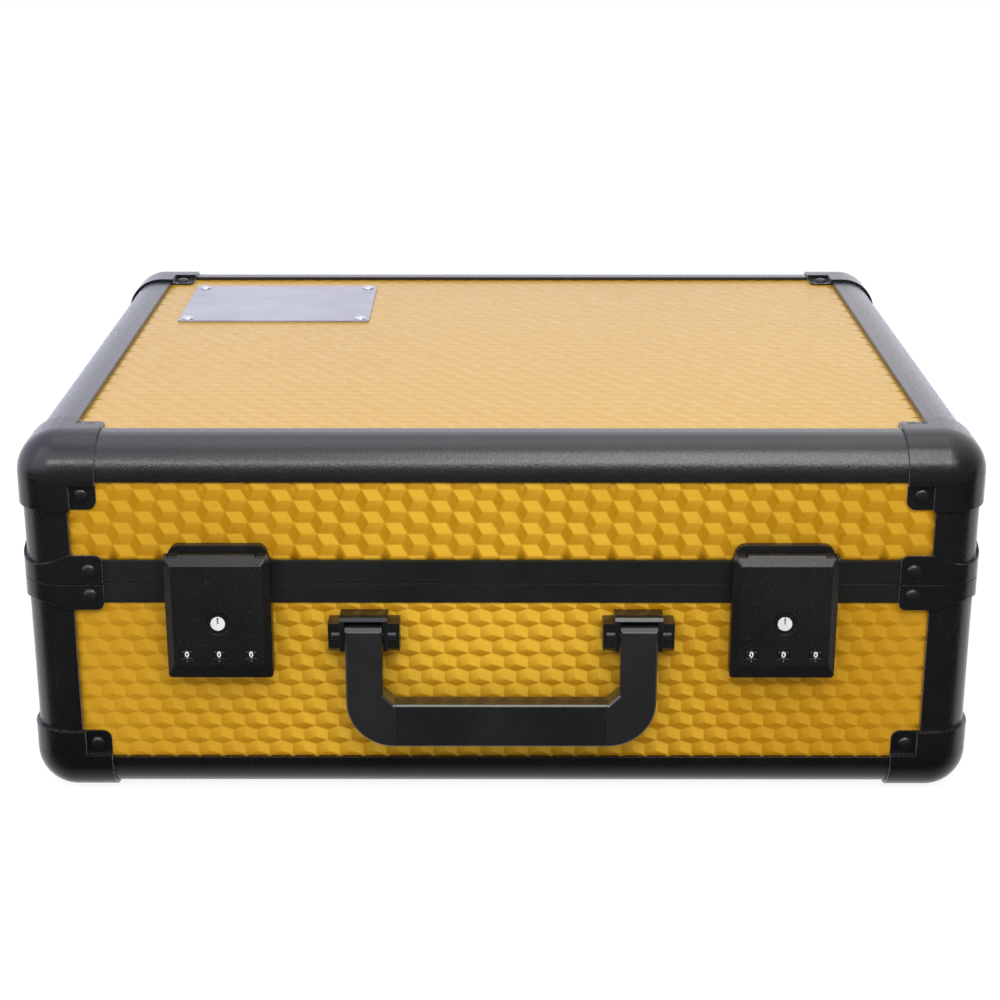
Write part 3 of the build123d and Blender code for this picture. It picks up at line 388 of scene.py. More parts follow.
def sheet_plate():
    """The bare sheet plate: satin grey with a faint brushing along its length, its pale lilac grey partly
    painted reflection of the sky.
    """
    mat, n, shader = surface("sheet_plate")
    lines = n.noise(420.0, 3.0, 0.6, n.place((0.04, 1.0, 1.0)))
    cloud = n.noise(30.0, 2.0, 0.5)
    # pale lilac grey: partly the plate's own grey, partly painted reflection of the sky at a grazing angle
    tone = n.mix(n.ranged(cloud, 0.3, 0.7, 0.0, 1.0), colour(0.30, 0.30, 0.36), colour(0.40, 0.40, 0.47))
    n.link(tone, shader.inputs["Base Color"])
    shader.inputs["Metallic"].default_value = 0.55
    n.link(n.ranged(lines, 0.3, 0.7, 0.22, 0.34), shader.inputs["Roughness"])
    n.link(n.bump(lines, 0.15, 0.00004, soft_normal(n, 0.0003)), shader.inputs["Normal"])
    return mat


def moulded(name, tone, rough, grain, depth, specular=0.4, speck=0.0, gloss=0.0, crisp=True):
    """Moulded plastic or rubber: a fine texture, dark specks and a gloss that follows the edges if crisp."""
    mat, n, shader = surface(name)
    fine = n.noise(grain, 4.0, 0.65)
    patches = n.noise(35.0, 3.0, 0.6)
    soft = soft_normal(n, 0.0005)
    edge = edge_share(n, soft, 0.88)
    body = mottled(n, tone, patches, 0.8, 1.3)
    if speck:
        dots = n.ranged(n.noise(grain * 0.9, 2.0, 0.6), 0.60, 0.72, 0.0, speck)
        body = n.mix(dots, body, colour(0.002, 0.002, 0.002))
    # paler grey along every edge: partly rubbed wear, partly a painted highlight where the chamfers catch the
    # light
    rubbed_and_lit_edges = n.mix(n.math("MULTIPLY", edge, 0.20), body, colour(0.12, 0.12, 0.12))
    n.link(rubbed_and_lit_edges, shader.inputs["Base Color"])
    n.link(n.ranged(fine, 0.3, 0.7, rough - 0.08, rough + 0.08), shader.inputs["Roughness"])
    shader.inputs["Specular IOR Level"].default_value = specular
    n.link(n.bump(fine, 0.4, depth, soft), shader.inputs["Normal"])
    shader.inputs["Coat Weight"].default_value = gloss
    shader.inputs["Coat Roughness"].default_value = 0.05
    shader.inputs["Coat IOR"].default_value = 1.7
    if gloss and crisp:
        n.link(soft, shader.inputs["Coat Normal"])
    return mat


def foam():
    """Closed-cell foam: pores of two sizes, paler on their raised rims than in their hollows, and a dull skin.
    """
    mat, n, shader = surface("foam")
    pores = n.cells(900.0)
    large = n.cells(260.0)
    cloud = n.noise(25.0, 4.0, 0.6)
    height = n.math("ADD", pores, n.math("MULTIPLY", large, 0.6))
    body = n.mix(n.ranged(cloud, 0.3, 0.7, 0.0, 1.0), colour(0.018, 0.018, 0.020), colour(0.034, 0.034, 0.037))
    # paler on the pores' raised rims, darker in their hollows
    paler_rims = n.mix(n.ranged(pores, 0.25, 0.60, 0.0, 0.5), body, colour(0.075, 0.075, 0.080))
    n.link(paler_rims, shader.inputs["Base Color"])
    n.link(n.ranged(large, 0.1, 0.7, 0.86, 0.98), shader.inputs["Roughness"])
    shader.inputs["Specular IOR Level"].default_value = 0.25
    shader.inputs["Sheen Weight"].default_value = 0.10
    n.link(n.bump(height, 0.5, 0.0005), shader.inputs["Normal"])
    return mat


def paint_white():
    """The figures' paint, slightly uneven."""
    mat, n, shader = surface("figure_paint")
    wear = n.noise(1800.0, 3.0, 0.6)
    worn = n.ranged(wear, 0.3, 0.8, 0.0, 1.0)
    n.link(n.mix(worn, colour(0.92, 0.92, 0.92), colour(0.70, 0.70, 0.70)), shader.inputs["Base Color"])
    shader.inputs["Roughness"].default_value = 0.45
    n.link(n.bump(wear, 0.2, 0.00004), shader.inputs["Normal"])
    return mat


def mark_grey():
    """The index marks' dull grey paint."""
    mat, n, shader = surface("mark_grey")
    wear = n.noise(1500.0, 3.0, 0.6)
    n.link(n.mix(wear, colour(0.20, 0.20, 0.20), colour(0.34, 0.34, 0.34)), shader.inputs["Base Color"])
    shader.inputs["Roughness"].default_value = 0.5
    n.link(n.bump(wear, 0.2, 0.00004), shader.inputs["Normal"])
    return mat


LOOK = {
    "gold": gold_laminate("gold_laminate", (0.97, 1.0, 1.0), (1.0, 0.66, 0.10), 0.08),
    # a lit copy of the gold for the top: its colour cast and gloss set apart for the pale sky it catches at a
    # grazing angle
    "gold_top_lit_copy": gold_laminate("gold_laminate_top_lit_copy", (0.94, 1.0, 0.95), (0.70, 0.62, 0.12), 0.16),
    "core": panel_core(),
    "rail": black_metal("powder_black", (0.0062, 0.0062, 0.0066), 0.28, 850.0, 0.00022,
                        speck=0.22, coat=(0.26, 0.26), rim=0.9),
    "seam": black_metal("seam_black", (0.0112, 0.0110, 0.0110), 0.40, 600.0, 0.00012, specular=0.40, wear=0.16),
    "corner": black_metal("corner_black", (0.0062, 0.0062, 0.0068), 0.26, 420.0, 0.00004,
                          coat=(0.12, 0.30), rim=0.75),
    "rivet": black_metal("rivet_black", (0.0090, 0.0090, 0.0100), 0.26, 500.0, 0.00003, wear=0.06),
    "hinge": black_metal("hinge_black", (0.0130, 0.0130, 0.0140), 0.38, 650.0, 0.00010, wear=0.30),
    "latch": black_metal("latch_black", (0.0098, 0.0098, 0.0098), 0.32, 1100.0, 0.00014,
                         specular=0.36, wear=0.04, speck=0.25),
    "plate": sheet_plate(),
    "screw": steel("screw_bright", (0.72, 0.72, 0.76), 0.24, (1.0, 1.0, 1.0)),
    "pin": steel("pin_steel", (0.45, 0.45, 0.46), 0.34, (0.05, 1.0, 1.0)),
    "stay": steel("stay_zinc", (0.50, 0.50, 0.53), 0.38, (1.0, 0.12, 0.12)),
    # the silver key face made nearly white and hardly metallic: painted reflection of a bright surround
    "key": steel("key_white_painted_reflection", (0.88, 0.88, 0.88), 0.30, (1.0, 1.0, 1.0), 0.05),
    "arm": moulded("handle_arm", (0.0165, 0.0165, 0.0168), 0.40, 900.0, 0.00012, specular=0.3, gloss=0.8),
    "grip": moulded("handle_grip", (0.0130, 0.0128, 0.0128), 0.42, 700.0, 0.00022,
                    specular=0.3, speck=0.6, gloss=0.6),
    "bracket": moulded("handle_bracket", (0.0085, 0.0085, 0.0088), 0.36, 900.0, 0.00014,
                       specular=0.25, gloss=0.4, crisp=False),
    "wheel": moulded("wheel_plastic", (0.0080, 0.0080, 0.0080), 0.42, 1400.0, 0.00006),
    "rubber": moulded("foot_rubber", (0.0150, 0.0150, 0.0150), 0.70, 800.0, 0.00020, specular=0.3),
    "foam": foam(),
    "figure": paint_white(),
    "mark": mark_grey(),
}

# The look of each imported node: the first word found in its name decides
BY_NODE = (
    ("_panel", "core"), ("rails", "rail"), ("posts", "rail"), ("seam_frame", "seam"), ("corners", "corner"),
    ("wraps", "corner"), ("rivets", "rivet"), ("badge_plate", "plate"), ("badge_screws", "screw"),
    ("leaves", "hinge"), ("feet", "rubber"), ("handle_arms", "arm"), ("handle_grip", "grip"),
    ("handle_brackets", "bracket"), ("handle_pins", "hinge"), ("key_cylinder", "key"), ("axle", "pin"),
    ("pins", "pin"), ("latch", "latch"), ("dial", "wheel"), ("stay", "stay"), ("foam", "foam"),
)


def dress(obj, look):
    """Gives the whole object one of the looks."""
    if not obj.data.materials:
        obj.data.materials.append(LOOK[look])
    for slot in obj.material_slots:
        slot.material = LOOK[look]


for node_name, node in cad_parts.items():
    dress(node, next(look for word, look in BY_NODE if word in node_name))


# ---------------------------------------------------------------- mesh helpers

def piece(name, bm, look, body, smooth=True, replaces=()):
    """A finished mesh in millimetres becomes a piece in metres that rides on its body."""
    bmesh.ops.remove_doubles(bm, verts=bm.verts, dist=0.0005)
    bmesh.ops.recalc_face_normals(bm, faces=bm.faces)
    bmesh.ops.scale(bm, vec=(MM, MM, MM), verts=bm.verts)
    mesh = bpy.data.meshes.new(name)
    bm.to_mesh(mesh)
    bm.free()
    mesh.polygons.foreach_set("use_smooth", [smooth] * len(mesh.polygons))
    obj = bpy.data.objects.new(name, mesh)
    scene.collection.objects.link(obj)
    dress(obj, look)
    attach(obj, body)
    if replaces:
        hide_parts(*replaces)
    return obj


def turned(bm, profile, matrix, segments):
    """Adds a closed turned shape: profile is (radius, height) from the axis to the axis."""
    rings = []
    for radius, height in profile:
        if radius < 1e-6:
            rings.append([bm.verts.new(matrix @ Vector((0, 0, height)))])
        else:
            ring = []
            for k in range(segments):
                a = 2 * math.pi * k / segments
                ring.append(bm.verts.new(matrix @ Vector((radius * math.cos(a), radius * math.sin(a), height))))
            rings.append(ring)
    for low, high in zip(rings, rings[1:]):
        for k in range(segments):
            j = (k + 1) % segments
            a, b = low[k % len(low)], low[j % len(low)]
            c, d = high[j % len(high)], high[k % len(high)]
            corners = []
            for v in (a, b, c, d):
                if v not in corners:
                    corners.append(v)
            if len(corners) > 2:
                bm.faces.new(corners)


def standing(place, way):
    """Turns a shape that stands on Z = 0 to stand at a place in the given direction."""
    return Matrix.Translation(Vector(place)) @ Vector(way).to_track_quat("Z", "Y").to_matrix().to_4x4()


# ---------------------------------------------------------------- embossed film on the panels

# The pattern is a field of shallow cube corners. From each peak run three ridges.
UPRIGHT = ((0.0, 5.65), (-5.688, -1.986), (5.688, -1.986))
TURNED = ((7.58, 0.0), (-3.052, 5.468), (-3.052, -5.468))
# Each facet's painted shading in its middle, lighter on facets turned to the light and darker on those turned
# away, and how much it changes along its two ridges
UPRIGHT_PAINTED_SHADE = {(0, 1): (0.50, 0.30, -0.40), (0, 2): (0.86, -0.05, 0.0), (1, 2): (0.16, -0.10, -0.20)}
TURNED_PAINTED_SHADE = {(0, 1): (0.88, 0.0, 0.05), (0, 2): (0.38, 0.12, -0.25), (1, 2): (0.16, 0.10, 0.05)}
# Where a facet is divided along its ridges, so that a ridge's mean tone stays narrow
FACET_LINES = (0.0, 0.08, 0.92, 1.0)
STEP = 0.22  # from one level of the pattern to the next
LOWEST = 0.06  # the lowest level above the panel
SUNK = 0.30  # how far the film's back lies in the panel
LEAST_PITCH = 4.0  # safely less than the distance between neighbouring peaks
MARGIN = 12  # a cell whose peak is this far outside the panel cannot reach into it
KEY_SHIFT = 0.000313  # keeps a shared corner's rounded place the same from every cell
FADE_POWER = 1.5  # how fast the painted facet shading fades and the painted side shade deepens towards the sides


def film(
    name, body, to_space, u_range, v_range, peak, ridges, painted_shades, contrast,
    step=STEP, lines=FACET_LINES, look="gold", fade=0.0, painted_side_shade=(0.0, 0.0), painted_lift=0.0,
):
    """One panel's embossed film: a closed thin sheet on the panel, cut to what the rails leave open.

    Contrast scales the facets' painted shading about the middle tone, and fade takes it away towards
    the sides. Painted side shade darkens the left and the right side; painted lift lightens the whole film.
    """
    bm = bmesh.new()
    layer = bm.verts.layers.float.new("facet")
    found, painted_shade_at = {}, {}

    def corner(u, v, level, tone):
        key = (round(u + KEY_SHIFT, 2), round(v + KEY_SHIFT, 2))
        if key not in found:
            found[key] = bm.verts.new((u, v, LOWEST + step * level))
            painted_shade_at[key] = []
        painted_shade_at[key].append(tone)
        return found[key]

    along = (ridges[0][0] - ridges[2][0], ridges[0][1] - ridges[2][1])
    across = (ridges[0][0] - ridges[1][0], ridges[0][1] - ridges[1][1])
    span = int(max(u_range[1] - u_range[0], v_range[1] - v_range[0]) / LEAST_PITCH) + 4
    for m in range(-span, span + 1):
        for k in range(-span, span + 1):
            cu = peak[0] + m * along[0] + k * across[0]
            cv = peak[1] + m * along[1] + k * across[1]
            if not u_range[0] - MARGIN < cu < u_range[1] + MARGIN:
                continue
            if not v_range[0] - MARGIN < cv < v_range[1] + MARGIN:
                continue
            # the painted facet shading fades, and the painted side shade deepens, towards the panel's ends
            reach = min(abs(cu) / u_range[1], 1.0)
            depth = contrast * (1.0 - fade * reach ** FADE_POWER)
            for (a, b), (tone, along_a, along_b) in painted_shades.items():
                ra, rb = ridges[a], ridges[b]
                own = tone + painted_lift + 0.12 * noise.noise(Vector((cu * 0.31, cv * 0.31, a * 3.1 + b)))
                own -= painted_side_shade[0 if cu < 0 else 1] * reach ** FADE_POWER
                grid = []
                for s in lines:
                    row = []
                    for t in lines:
                        shade = 0.5 + (own - 0.5 + along_a * (s - 0.5) + along_b * (t - 0.5)) * depth
                        u, v = cu + s * ra[0] + t * rb[0], cv + s * ra[1] + t * rb[1]
                        row.append(corner(u, v, 2 - s - t, shade))
                    grid.append(row)
                for low, high in zip(grid, grid[1:]):
                    for i in range(len(lines) - 1):
                        bm.faces.new((low[i], low[i + 1], high[i + 1], high[i]))
    # each corner keeps the mean painted shade of the facets that meet there
    for key, vert in found.items():
        vert[layer] = sum(painted_shade_at[key]) / len(painted_shade_at[key])
    for axis, (low, high) in enumerate((u_range, v_range)):
        for value, way in ((low, -1.0), (high, 1.0)):
            point, normal = [0.0, 0.0, 0.0], [0.0, 0.0, 0.0]
            point[axis], normal[axis] = value, way
            everything = [*bm.verts, *bm.edges, *bm.faces]
            bmesh.ops.bisect_plane(bm, geom=everything, plane_co=point, plane_no=normal, clear_outer=True)
    rim = [e for e in bm.edges if e.is_boundary]
    pulled = bmesh.ops.extrude_edge_only(bm, edges=rim)["geom"]
    for v in (g for g in pulled if isinstance(g, bmesh.types.BMVert)):
        v.co.z = -SUNK
    bmesh.ops.edgeloop_fill(bm, edges=[g for g in pulled if isinstance(g, bmesh.types.BMEdge)])
    for v in bm.verts:
        v.co = Vector(to_space(v.co.x, v.co.y, v.co.z))
    piece(name, bm, look, body)


# From a place across and up a panel, and a height above it, to a place on the case
def on_front(u, v, h): return (u, PANEL_FRONT - h, v)
def on_back(u, v, h): return (-u, PANEL_BACK + h, v)
def on_left(u, v, h): return (-PANEL_SIDE - h, -u, v)
def on_right(u, v, h): return (PANEL_SIDE + h, u, v)
def on_top(u, v, h): return (u, v, PANEL_TOP + h)
def on_floor(u, v, h): return (u, -v, PANEL_FLOOR - h)


X_RANGE = (-SEEN_X, SEEN_X)
LEFT_RANGE = (-SEEN_Y[1], -SEEN_Y[0])
BASE_PEAK = (-44.23, 92.09)
LID_PEAK = (-83.31, 151.70)
TOP_PEAK = (0.0, 0.0)
for label, to_space, u_range in (
    ("front", on_front, X_RANGE), ("back", on_back, X_RANGE),
    ("left", on_left, LEFT_RANGE), ("right", on_right, SEEN_Y),
):
    # painted shading: contrast fades and the ends are painted darker, the base's right end most; the base film
    # is painted lighter overall
    film(f"base_{label}_film", "base", to_space, u_range, BASE_Z, BASE_PEAK, UPRIGHT, UPRIGHT_PAINTED_SHADE, 1.5,
         fade=0.82, painted_side_shade=(0.46, 0.86), painted_lift=0.10)
    film(f"lid_{label}_film", "lid", to_space, u_range, LID_Z, LID_PEAK, TURNED, TURNED_PAINTED_SHADE, 1.20,
         fade=0.45, painted_side_shade=(0.30, 0.34))
# the top's film: faint painted facet shading, in the top's lit copy of the gold
film("lid_top_film", "lid", on_top, X_RANGE, SEEN_Y, TOP_PEAK, UPRIGHT, UPRIGHT_PAINTED_SHADE, 0.30,
     step=0.03, look="gold_top_lit_copy")
film("base_floor_film", "base", on_floor, X_RANGE, LEFT_RANGE, TOP_PEAK, UPRIGHT, UPRIGHT_PAINTED_SHADE, 0.7,
     lines=(0.0, 0.5, 1.0))


# ---------------------------------------------------------------- rivets, screws

# Turned profiles, as radius and height
DOME = (
    (0.0, 0.0), (3.62, 0.0), (3.70, 0.10), (3.66, 0.30), (3.48, 0.62), (3.15, 0.94),
    (2.66, 1.24), (2.02, 1.48), (1.28, 1.63), (0.6, 1.69), (0.0, 1.7),
)
CUP = (
    (0.0, 0.0), (3.4, 0.0), (3.38, 0.22), (3.05, 0.70), (2.62, 0.98),
    (2.30, 0.98), (2.02, 0.72), (1.96, 0.35), (0.0, 0.35),
)
# Rivets stand on the ball corners' tabs, on the wraps at the parting line and on the hinge leaves
TAB_IN = 30.6
TAB_RISE = 25.8
TAB_DEPTH = 0.8
WRAP_IN = 32.5
WRAP_OUT = 1.5
CREST_X = 226.0
CREST_Y = (-179.7, 185.3)
CREST_Z = (1.8, 180.2)
LEAF_BACK = 186.2
LEAF_RIVET_X = (-124.7, -95.3, 95.3, 124.7)


def rivet_places(level, inward, wrap_z, hinge_z):
    """Foot and direction of each rivet of the base or the lid."""
    found = []
    for sx in (-1, 1):
        for sy, wall in ((-1, CREST_Y[0]), (1, CREST_Y[1])):
            x_in, y_in, z_in = sx * (CREST_X - TAB_IN), wall - sy * TAB_IN, level + inward * TAB_RISE
            found.append(((x_in, y_in, level + inward * TAB_DEPTH), (0, 0, -inward)))
            found.append(((x_in, wall - sy * TAB_DEPTH, z_in), (0, sy, 0)))
            found.append(((sx * (CREST_X - TAB_DEPTH), y_in, z_in), (sx, 0, 0)))
            found.append(((sx * (CREST_X - WRAP_IN), wall + sy * WRAP_OUT, wrap_z), (0, sy, 0)))
            found.append(((sx * (CREST_X + WRAP_OUT), wall - sy * WRAP_IN, wrap_z), (sx, 0, 0)))
    for x in LEAF_RIVET_X:
        found.append(((x, LEAF_BACK, hinge_z), (0, 1, 0)))
    return found


for label, level, inward, wrap_z, hinge_z in (
    ("base", CREST_Z[0], 1, 105.3, 93.9), ("lid", CREST_Z[1], -1, 117.6, 127.9),
):
    bm = bmesh.new()
    for place, way in rivet_places(level, inward, wrap_z, hinge_z):
        turned(bm, DOME, standing(place, way), 26)
    piece(f"{label}_rivet_domes", bm, "rivet", label, replaces=(f"{label}_rivets",))

HEAD_RADIUS = 1.88
HEAD_TOP = 1.48
HEAD_FALL = 0.72
FOOT_RADIUS = 1.7
FOOT_HEIGHT = 0.3
CROSS_HALF = 0.26
CROSS_REACH = 1.15
CROSS_DEPTH = 0.55


def screw_head(bm, matrix):
    """A domed screw head with a cross recess."""
    rings, segments = 11, 48
    grid = []
    for r in range(rings + 1):
        radius = HEAD_RADIUS * r / rings
        row = []
        for k in range(segments if r else 1):
            a = 2 * math.pi * k / segments
            x, y = radius * math.cos(a), radius * math.sin(a)
            height = HEAD_TOP - HEAD_FALL * (radius / 1.9) ** 2.4
            recessed = min(abs(x), abs(y)) < CROSS_HALF and max(abs(x), abs(y)) < CROSS_REACH
            row.append(bm.verts.new(matrix @ Vector((x, y, height - (CROSS_DEPTH if recessed else 0.0)))))
        grid.append(row)
    foot = []
    for k in range(segments):
        a = 2 * math.pi * k / segments
        place = (FOOT_RADIUS * math.cos(a), FOOT_RADIUS * math.sin(a), FOOT_HEIGHT)
        foot.append(bm.verts.new(matrix @ Vector(place)))
    grid.append(foot)
    for low, high in zip(grid, grid[1:]):
        for k in range(segments):
            j = (k + 1) % segments
            if len(low) == 1:
                bm.faces.new((low[0], high[k], high[j]))
            else:
                bm.faces.new((low[k], high[k], high[j], low[j]))
    bm.faces.new(foot)


BADGE_MIDDLE = (-129.8, 98.0)
BADGE_TOP = 179.4
SCREW_OFF = (49.1, 37.8)
cups, heads = bmesh.new(), bmesh.new()
for i, (sx, sy) in enumerate(((-1, -1), (-1, 1), (1, -1), (1, 1))):
    place = (BADGE_MIDDLE[0] + sx * SCREW_OFF[0], BADGE_MIDDLE[1] + sy * SCREW_OFF[1], BADGE_TOP)
    spot = Matrix.Translation(place) @ Matrix.Rotation(0.5 + 0.9 * i, 4, "Z")
    turned(cups, CUP, spot, 36)
    screw_head(heads, spot)
piece("badge_cup_washers", cups, "screw", "lid", replaces=("badge_screws",))
piece("badge_screw_heads", heads, "screw", "lid", replaces=("badge_screws",))


# ---------------------------------------------------------------- number wheels and latch marks

WHEEL_Y = -186.6
WHEEL_Z = 79.9
WHEEL_R = 5.2
WHEEL_PITCH = 15.1
FIGURE_TALL = 2.9
FIGURE_WIDE = 2.05
FIGURE_PROUD = 0.05  # above the wheel, and as much in it
MARK_DROP = 3.3
MARK_BACK = -191.65
MARK_FRONT = -191.77
MARK_HALF = (0.40, 0.30)


def figure_outline(text):
    """A bold figure as flat triangles, centred and scaled to its size in millimetres."""
    data = bpy.data.curves.new("figure_" + text, "FONT")
    data.body = text
    data.size = 4.0
    data.offset = 0.10
    data.resolution_u = 4
    obj = bpy.data.objects.new("figure_" + text, data)
    scene.collection.objects.link(obj)
    bpy.context.view_layer.update()
    mesh = bpy.data.meshes.new_from_object(obj.evaluated_get(bpy.context.evaluated_depsgraph_get()))
    bm = bmesh.new()
    bm.from_mesh(mesh)
    bpy.data.objects.remove(obj)
    bpy.data.curves.remove(data)
    bpy.data.meshes.remove(mesh)
    bmesh.ops.remove_doubles(bm, verts=bm.verts, dist=0.001)
    low = [min(v.co[i] for v in bm.verts) for i in (0, 1)]
    high = [max(v.co[i] for v in bm.verts) for i in (0, 1)]
    tall = FIGURE_TALL / (high[1] - low[1])
    wide = min(FIGURE_WIDE / (high[0] - low[0]), tall)
    for v in bm.verts:
        v.co.x = (v.co.x - (low[0] + high[0]) / 2) * wide
        v.co.y = (v.co.y - (low[1] + high[1]) / 2) * tall
        v.co.z = 0.0
    for i in range(1, 8):
        level = -FIGURE_TALL / 2 + FIGURE_TALL * i / 8
        everything = [*bm.verts, *bm.edges, *bm.faces]
        bmesh.ops.bisect_plane(bm, geom=everything, plane_co=(0, level, 0), plane_no=(0, 1, 0))
    top = bmesh.ops.extrude_face_region(bm, geom=bm.faces[:])["geom"]
    for v in (g for g in top if isinstance(g, bmesh.types.BMVert)):
        v.co.z = 1.0
    return bm


def wheel_figures(name, x, body, outlines):
    """The ten figures of one wheel, bent round it, with 0 in front."""
    bm = bmesh.new()
    for number, outline in enumerate(outlines):
        middle = -math.radians(36.0 * number)
        moved = {}
        for v in outline.verts:
            radius = WHEEL_R - FIGURE_PROUD + 2 * FIGURE_PROUD * v.co.z
            a = middle + v.co.y / WHEEL_R
            place = (x + v.co.x, WHEEL_Y - radius * math.cos(a), WHEEL_Z + radius * math.sin(a))
            moved[v.index] = bm.verts.new(place)
        for f in outline.faces:
            bm.faces.new([moved[v.index] for v in f.verts])
    piece(name, bm, "figure", body, smooth=False)


outlines = []
for digit in range(10):
    shape = figure_outline(str(digit))
    shape.verts.index_update()
    outlines.append(shape)
for side_name, sign in (("left", -1), ("right", 1)):
    marks = bmesh.new()
    for i in range(3):
        x = sign * LATCH_X + (i - 1) * WHEEL_PITCH
        wheel_figures(f"{side_name}_figures_{i + 1}", x, f"{side_name}_dial_{i + 1}", outlines)
        # a small pointer under each window, bevelled on its face
        z = WHEEL_Z - MARK_DROP
        rows = []
        for y, grow in ((MARK_BACK, 1.0), (MARK_FRONT, 0.75)):
            rows.append([marks.verts.new((x + dx * MARK_HALF[0] * grow, y, z + dz * MARK_HALF[1] * grow))
                         for dx, dz in ((-1, -1), (1, -1), (0.25, 1), (-0.25, 1))])
        marks.faces.new(rows[0])
        marks.faces.new(rows[1])
        for k in range(4):
            marks.faces.new((rows[0][k], rows[0][(k + 1) % 4], rows[1][(k + 1) % 4], rows[1][k]))
    piece(f"{side_name}_index_marks", marks, "mark", f"{side_name}_flap", smooth=False)
for shape in outlines:
    shape.free()


# ---------------------------------------------------------------- foam

# The foam fills the case between these places, and is narrower at the back, beside the stays
PAD_X = 218.3
NARROW_X = 210.3
NOTCH_Y = 62.5
PAST_NOTCH = 62.8
PAD_FRONT = -172.0
PAD_REAR = 177.6
WIDE = (-PAD_X, PAD_X)
NARROW = (-NARROW_X, NARROW_X)
CUT_DEPTH = 0.35  # how uneven the cut faces are


def steps(low, high, rounding, pitch):
    """Grid lines from one side of a pad to the other, close together at the rounded edges."""
    near = [0.0, rounding * 0.12, rounding * 0.35, rounding * 0.65, rounding]
    count = max(2, int((high - low - 2 * rounding) / pitch) + 1)
    inner = [low + rounding + (high - low - 2 * rounding) * k / count for k in range(1, count)]
    return [low + x for x in near] + inner + [high - x for x in reversed(near)]


def foam_block(bm, low, high, rounding, pitch, give, seed):
    """One foam block: rounded edges, faces that belly out between them, and a slightly uneven cut."""
    lines = [steps(low[i], high[i], rounding, pitch) for i in range(3)]
    middle = [(a + b) / 2 for a, b in zip(low, high)]
    half = [(b - a) / 2 for a, b in zip(low, high)]
    made = {}

    def vert(i, j, k):
        if (i, j, k) in made:
            return made[(i, j, k)]
        p = [lines[0][i], lines[1][j], lines[2][k]]
        core = [min(max(p[a], low[a] + rounding), high[a] - rounding) for a in range(3)]
        out = Vector([p[a] - core[a] for a in range(3)])
        if out.length > 1e-6:
            out = out.normalized() * rounding
        q = Vector(core) + out
        share = [(q[a] - middle[a]) / half[a] for a in range(3)]
        for a in range(3):
            b, c = (a + 1) % 3, (a + 2) % 3
            bulge = (1 - share[b] ** 2) * (1 - share[c] ** 2)
            q[a] -= share[a] * give[a] * (1 - bulge)
        n3 = noise.noise_vector(Vector(q) * 0.045 + Vector((seed, seed * 0.7, 0)))
        for a in range(3):
            q[a] -= share[a] * abs(share[a]) * CUT_DEPTH * (0.5 + 0.5 * n3[a])
        made[(i, j, k)] = bm.verts.new(q)
        return made[(i, j, k)]

    sizes = [len(row) - 1 for row in lines]
    for a in range(3):
        b, c = (a + 1) % 3, (a + 2) % 3
        for end in (0, sizes[a]):
            for p in range(sizes[b]):
                for q in range(sizes[c]):
                    quad = []
                    for dp, dq in ((0, 0), (1, 0), (1, 1), (0, 1)):
                        index = [0, 0, 0]
                        index[a], index[b], index[c] = end, p + dp, q + dq
                        quad.append(vert(*index))
                    bm.faces.new(quad)


def foam_piece(name, body, node_name, blocks, pitch, give, seed, rounding=2.2):
    """A piece of foam made of one or more blocks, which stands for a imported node."""
    bm = bmesh.new()
    for i, (x, y, z) in enumerate(blocks):
        low, high = [min(x), min(y), min(z)], [max(x), max(y), max(z)]
        foam_block(bm, low, high, rounding, pitch, give, seed + i)
    obj = piece(name, bm, "foam", body, replaces=(node_name,))


def side_blocks(sign, inner, y_range, z_range):
    """The two blocks along one side: up to the notch, and the narrower one beside the stay."""
    return [((sign * inner, sign * PAD_X), (y_range[0], NOTCH_Y), z_range),
            ((sign * inner, sign * NARROW_X), (PAST_NOTCH, y_range[1]), z_range)]


ROWS_Z = (19.8, 106.9)
WALL_Y = (-153.7, 159.3)
DIVIDER_X = (-100.0, 0.0, 100.0)
DIVIDER_HALF = 7.0
foam_piece("foam_floor", "base", "foam_floor_pad", [(WIDE, (PAD_FRONT, PAD_REAR), (9.5, 19.5))],
           11.0, (0.8, 0.8, 0.5), 2.0, 2.5)
for i, x in enumerate(DIVIDER_X, 1):
    sides = (x - DIVIDER_HALF, x + DIVIDER_HALF)
    foam_piece(f"foam_divider_{i}", "base", "foam_row_walls", [(sides, WALL_Y, ROWS_Z)],
               8.0, (0.7, 0.5, 0.5), 3.0 + i)
for label, sign in (("left", -1), ("right", 1)):
    foam_piece(f"foam_side_{label}", "base", "foam_row_walls", side_blocks(sign, 193.0, WALL_Y, ROWS_Z),
               8.0, (0.6, 0.5, 0.5), 8.0 + sign)
foam_piece("foam_end_front", "base", "foam_end_walls", [(WIDE, (PAD_FRONT, -154.0), ROWS_Z)],
           9.0, (0.5, 0.6, 0.5), 11.0)
foam_piece("foam_end_rear", "base", "foam_end_walls", [(NARROW, (159.6, PAD_REAR), ROWS_Z)],
           9.0, (0.5, 0.6, 0.5), 12.0)

LID_PAD_LOW = 156.0
LID_PAD_TOP = 172.5
LID_PAD_ROUND = 2.5
LID_PAD_PITCH = 11.0
LID_PAD_MIDDLE_Y = 2.8
LID_PAD_HALF_Y = 174.8
CROWN = 0.9  # how far the pad's lower face bellies down in its middle


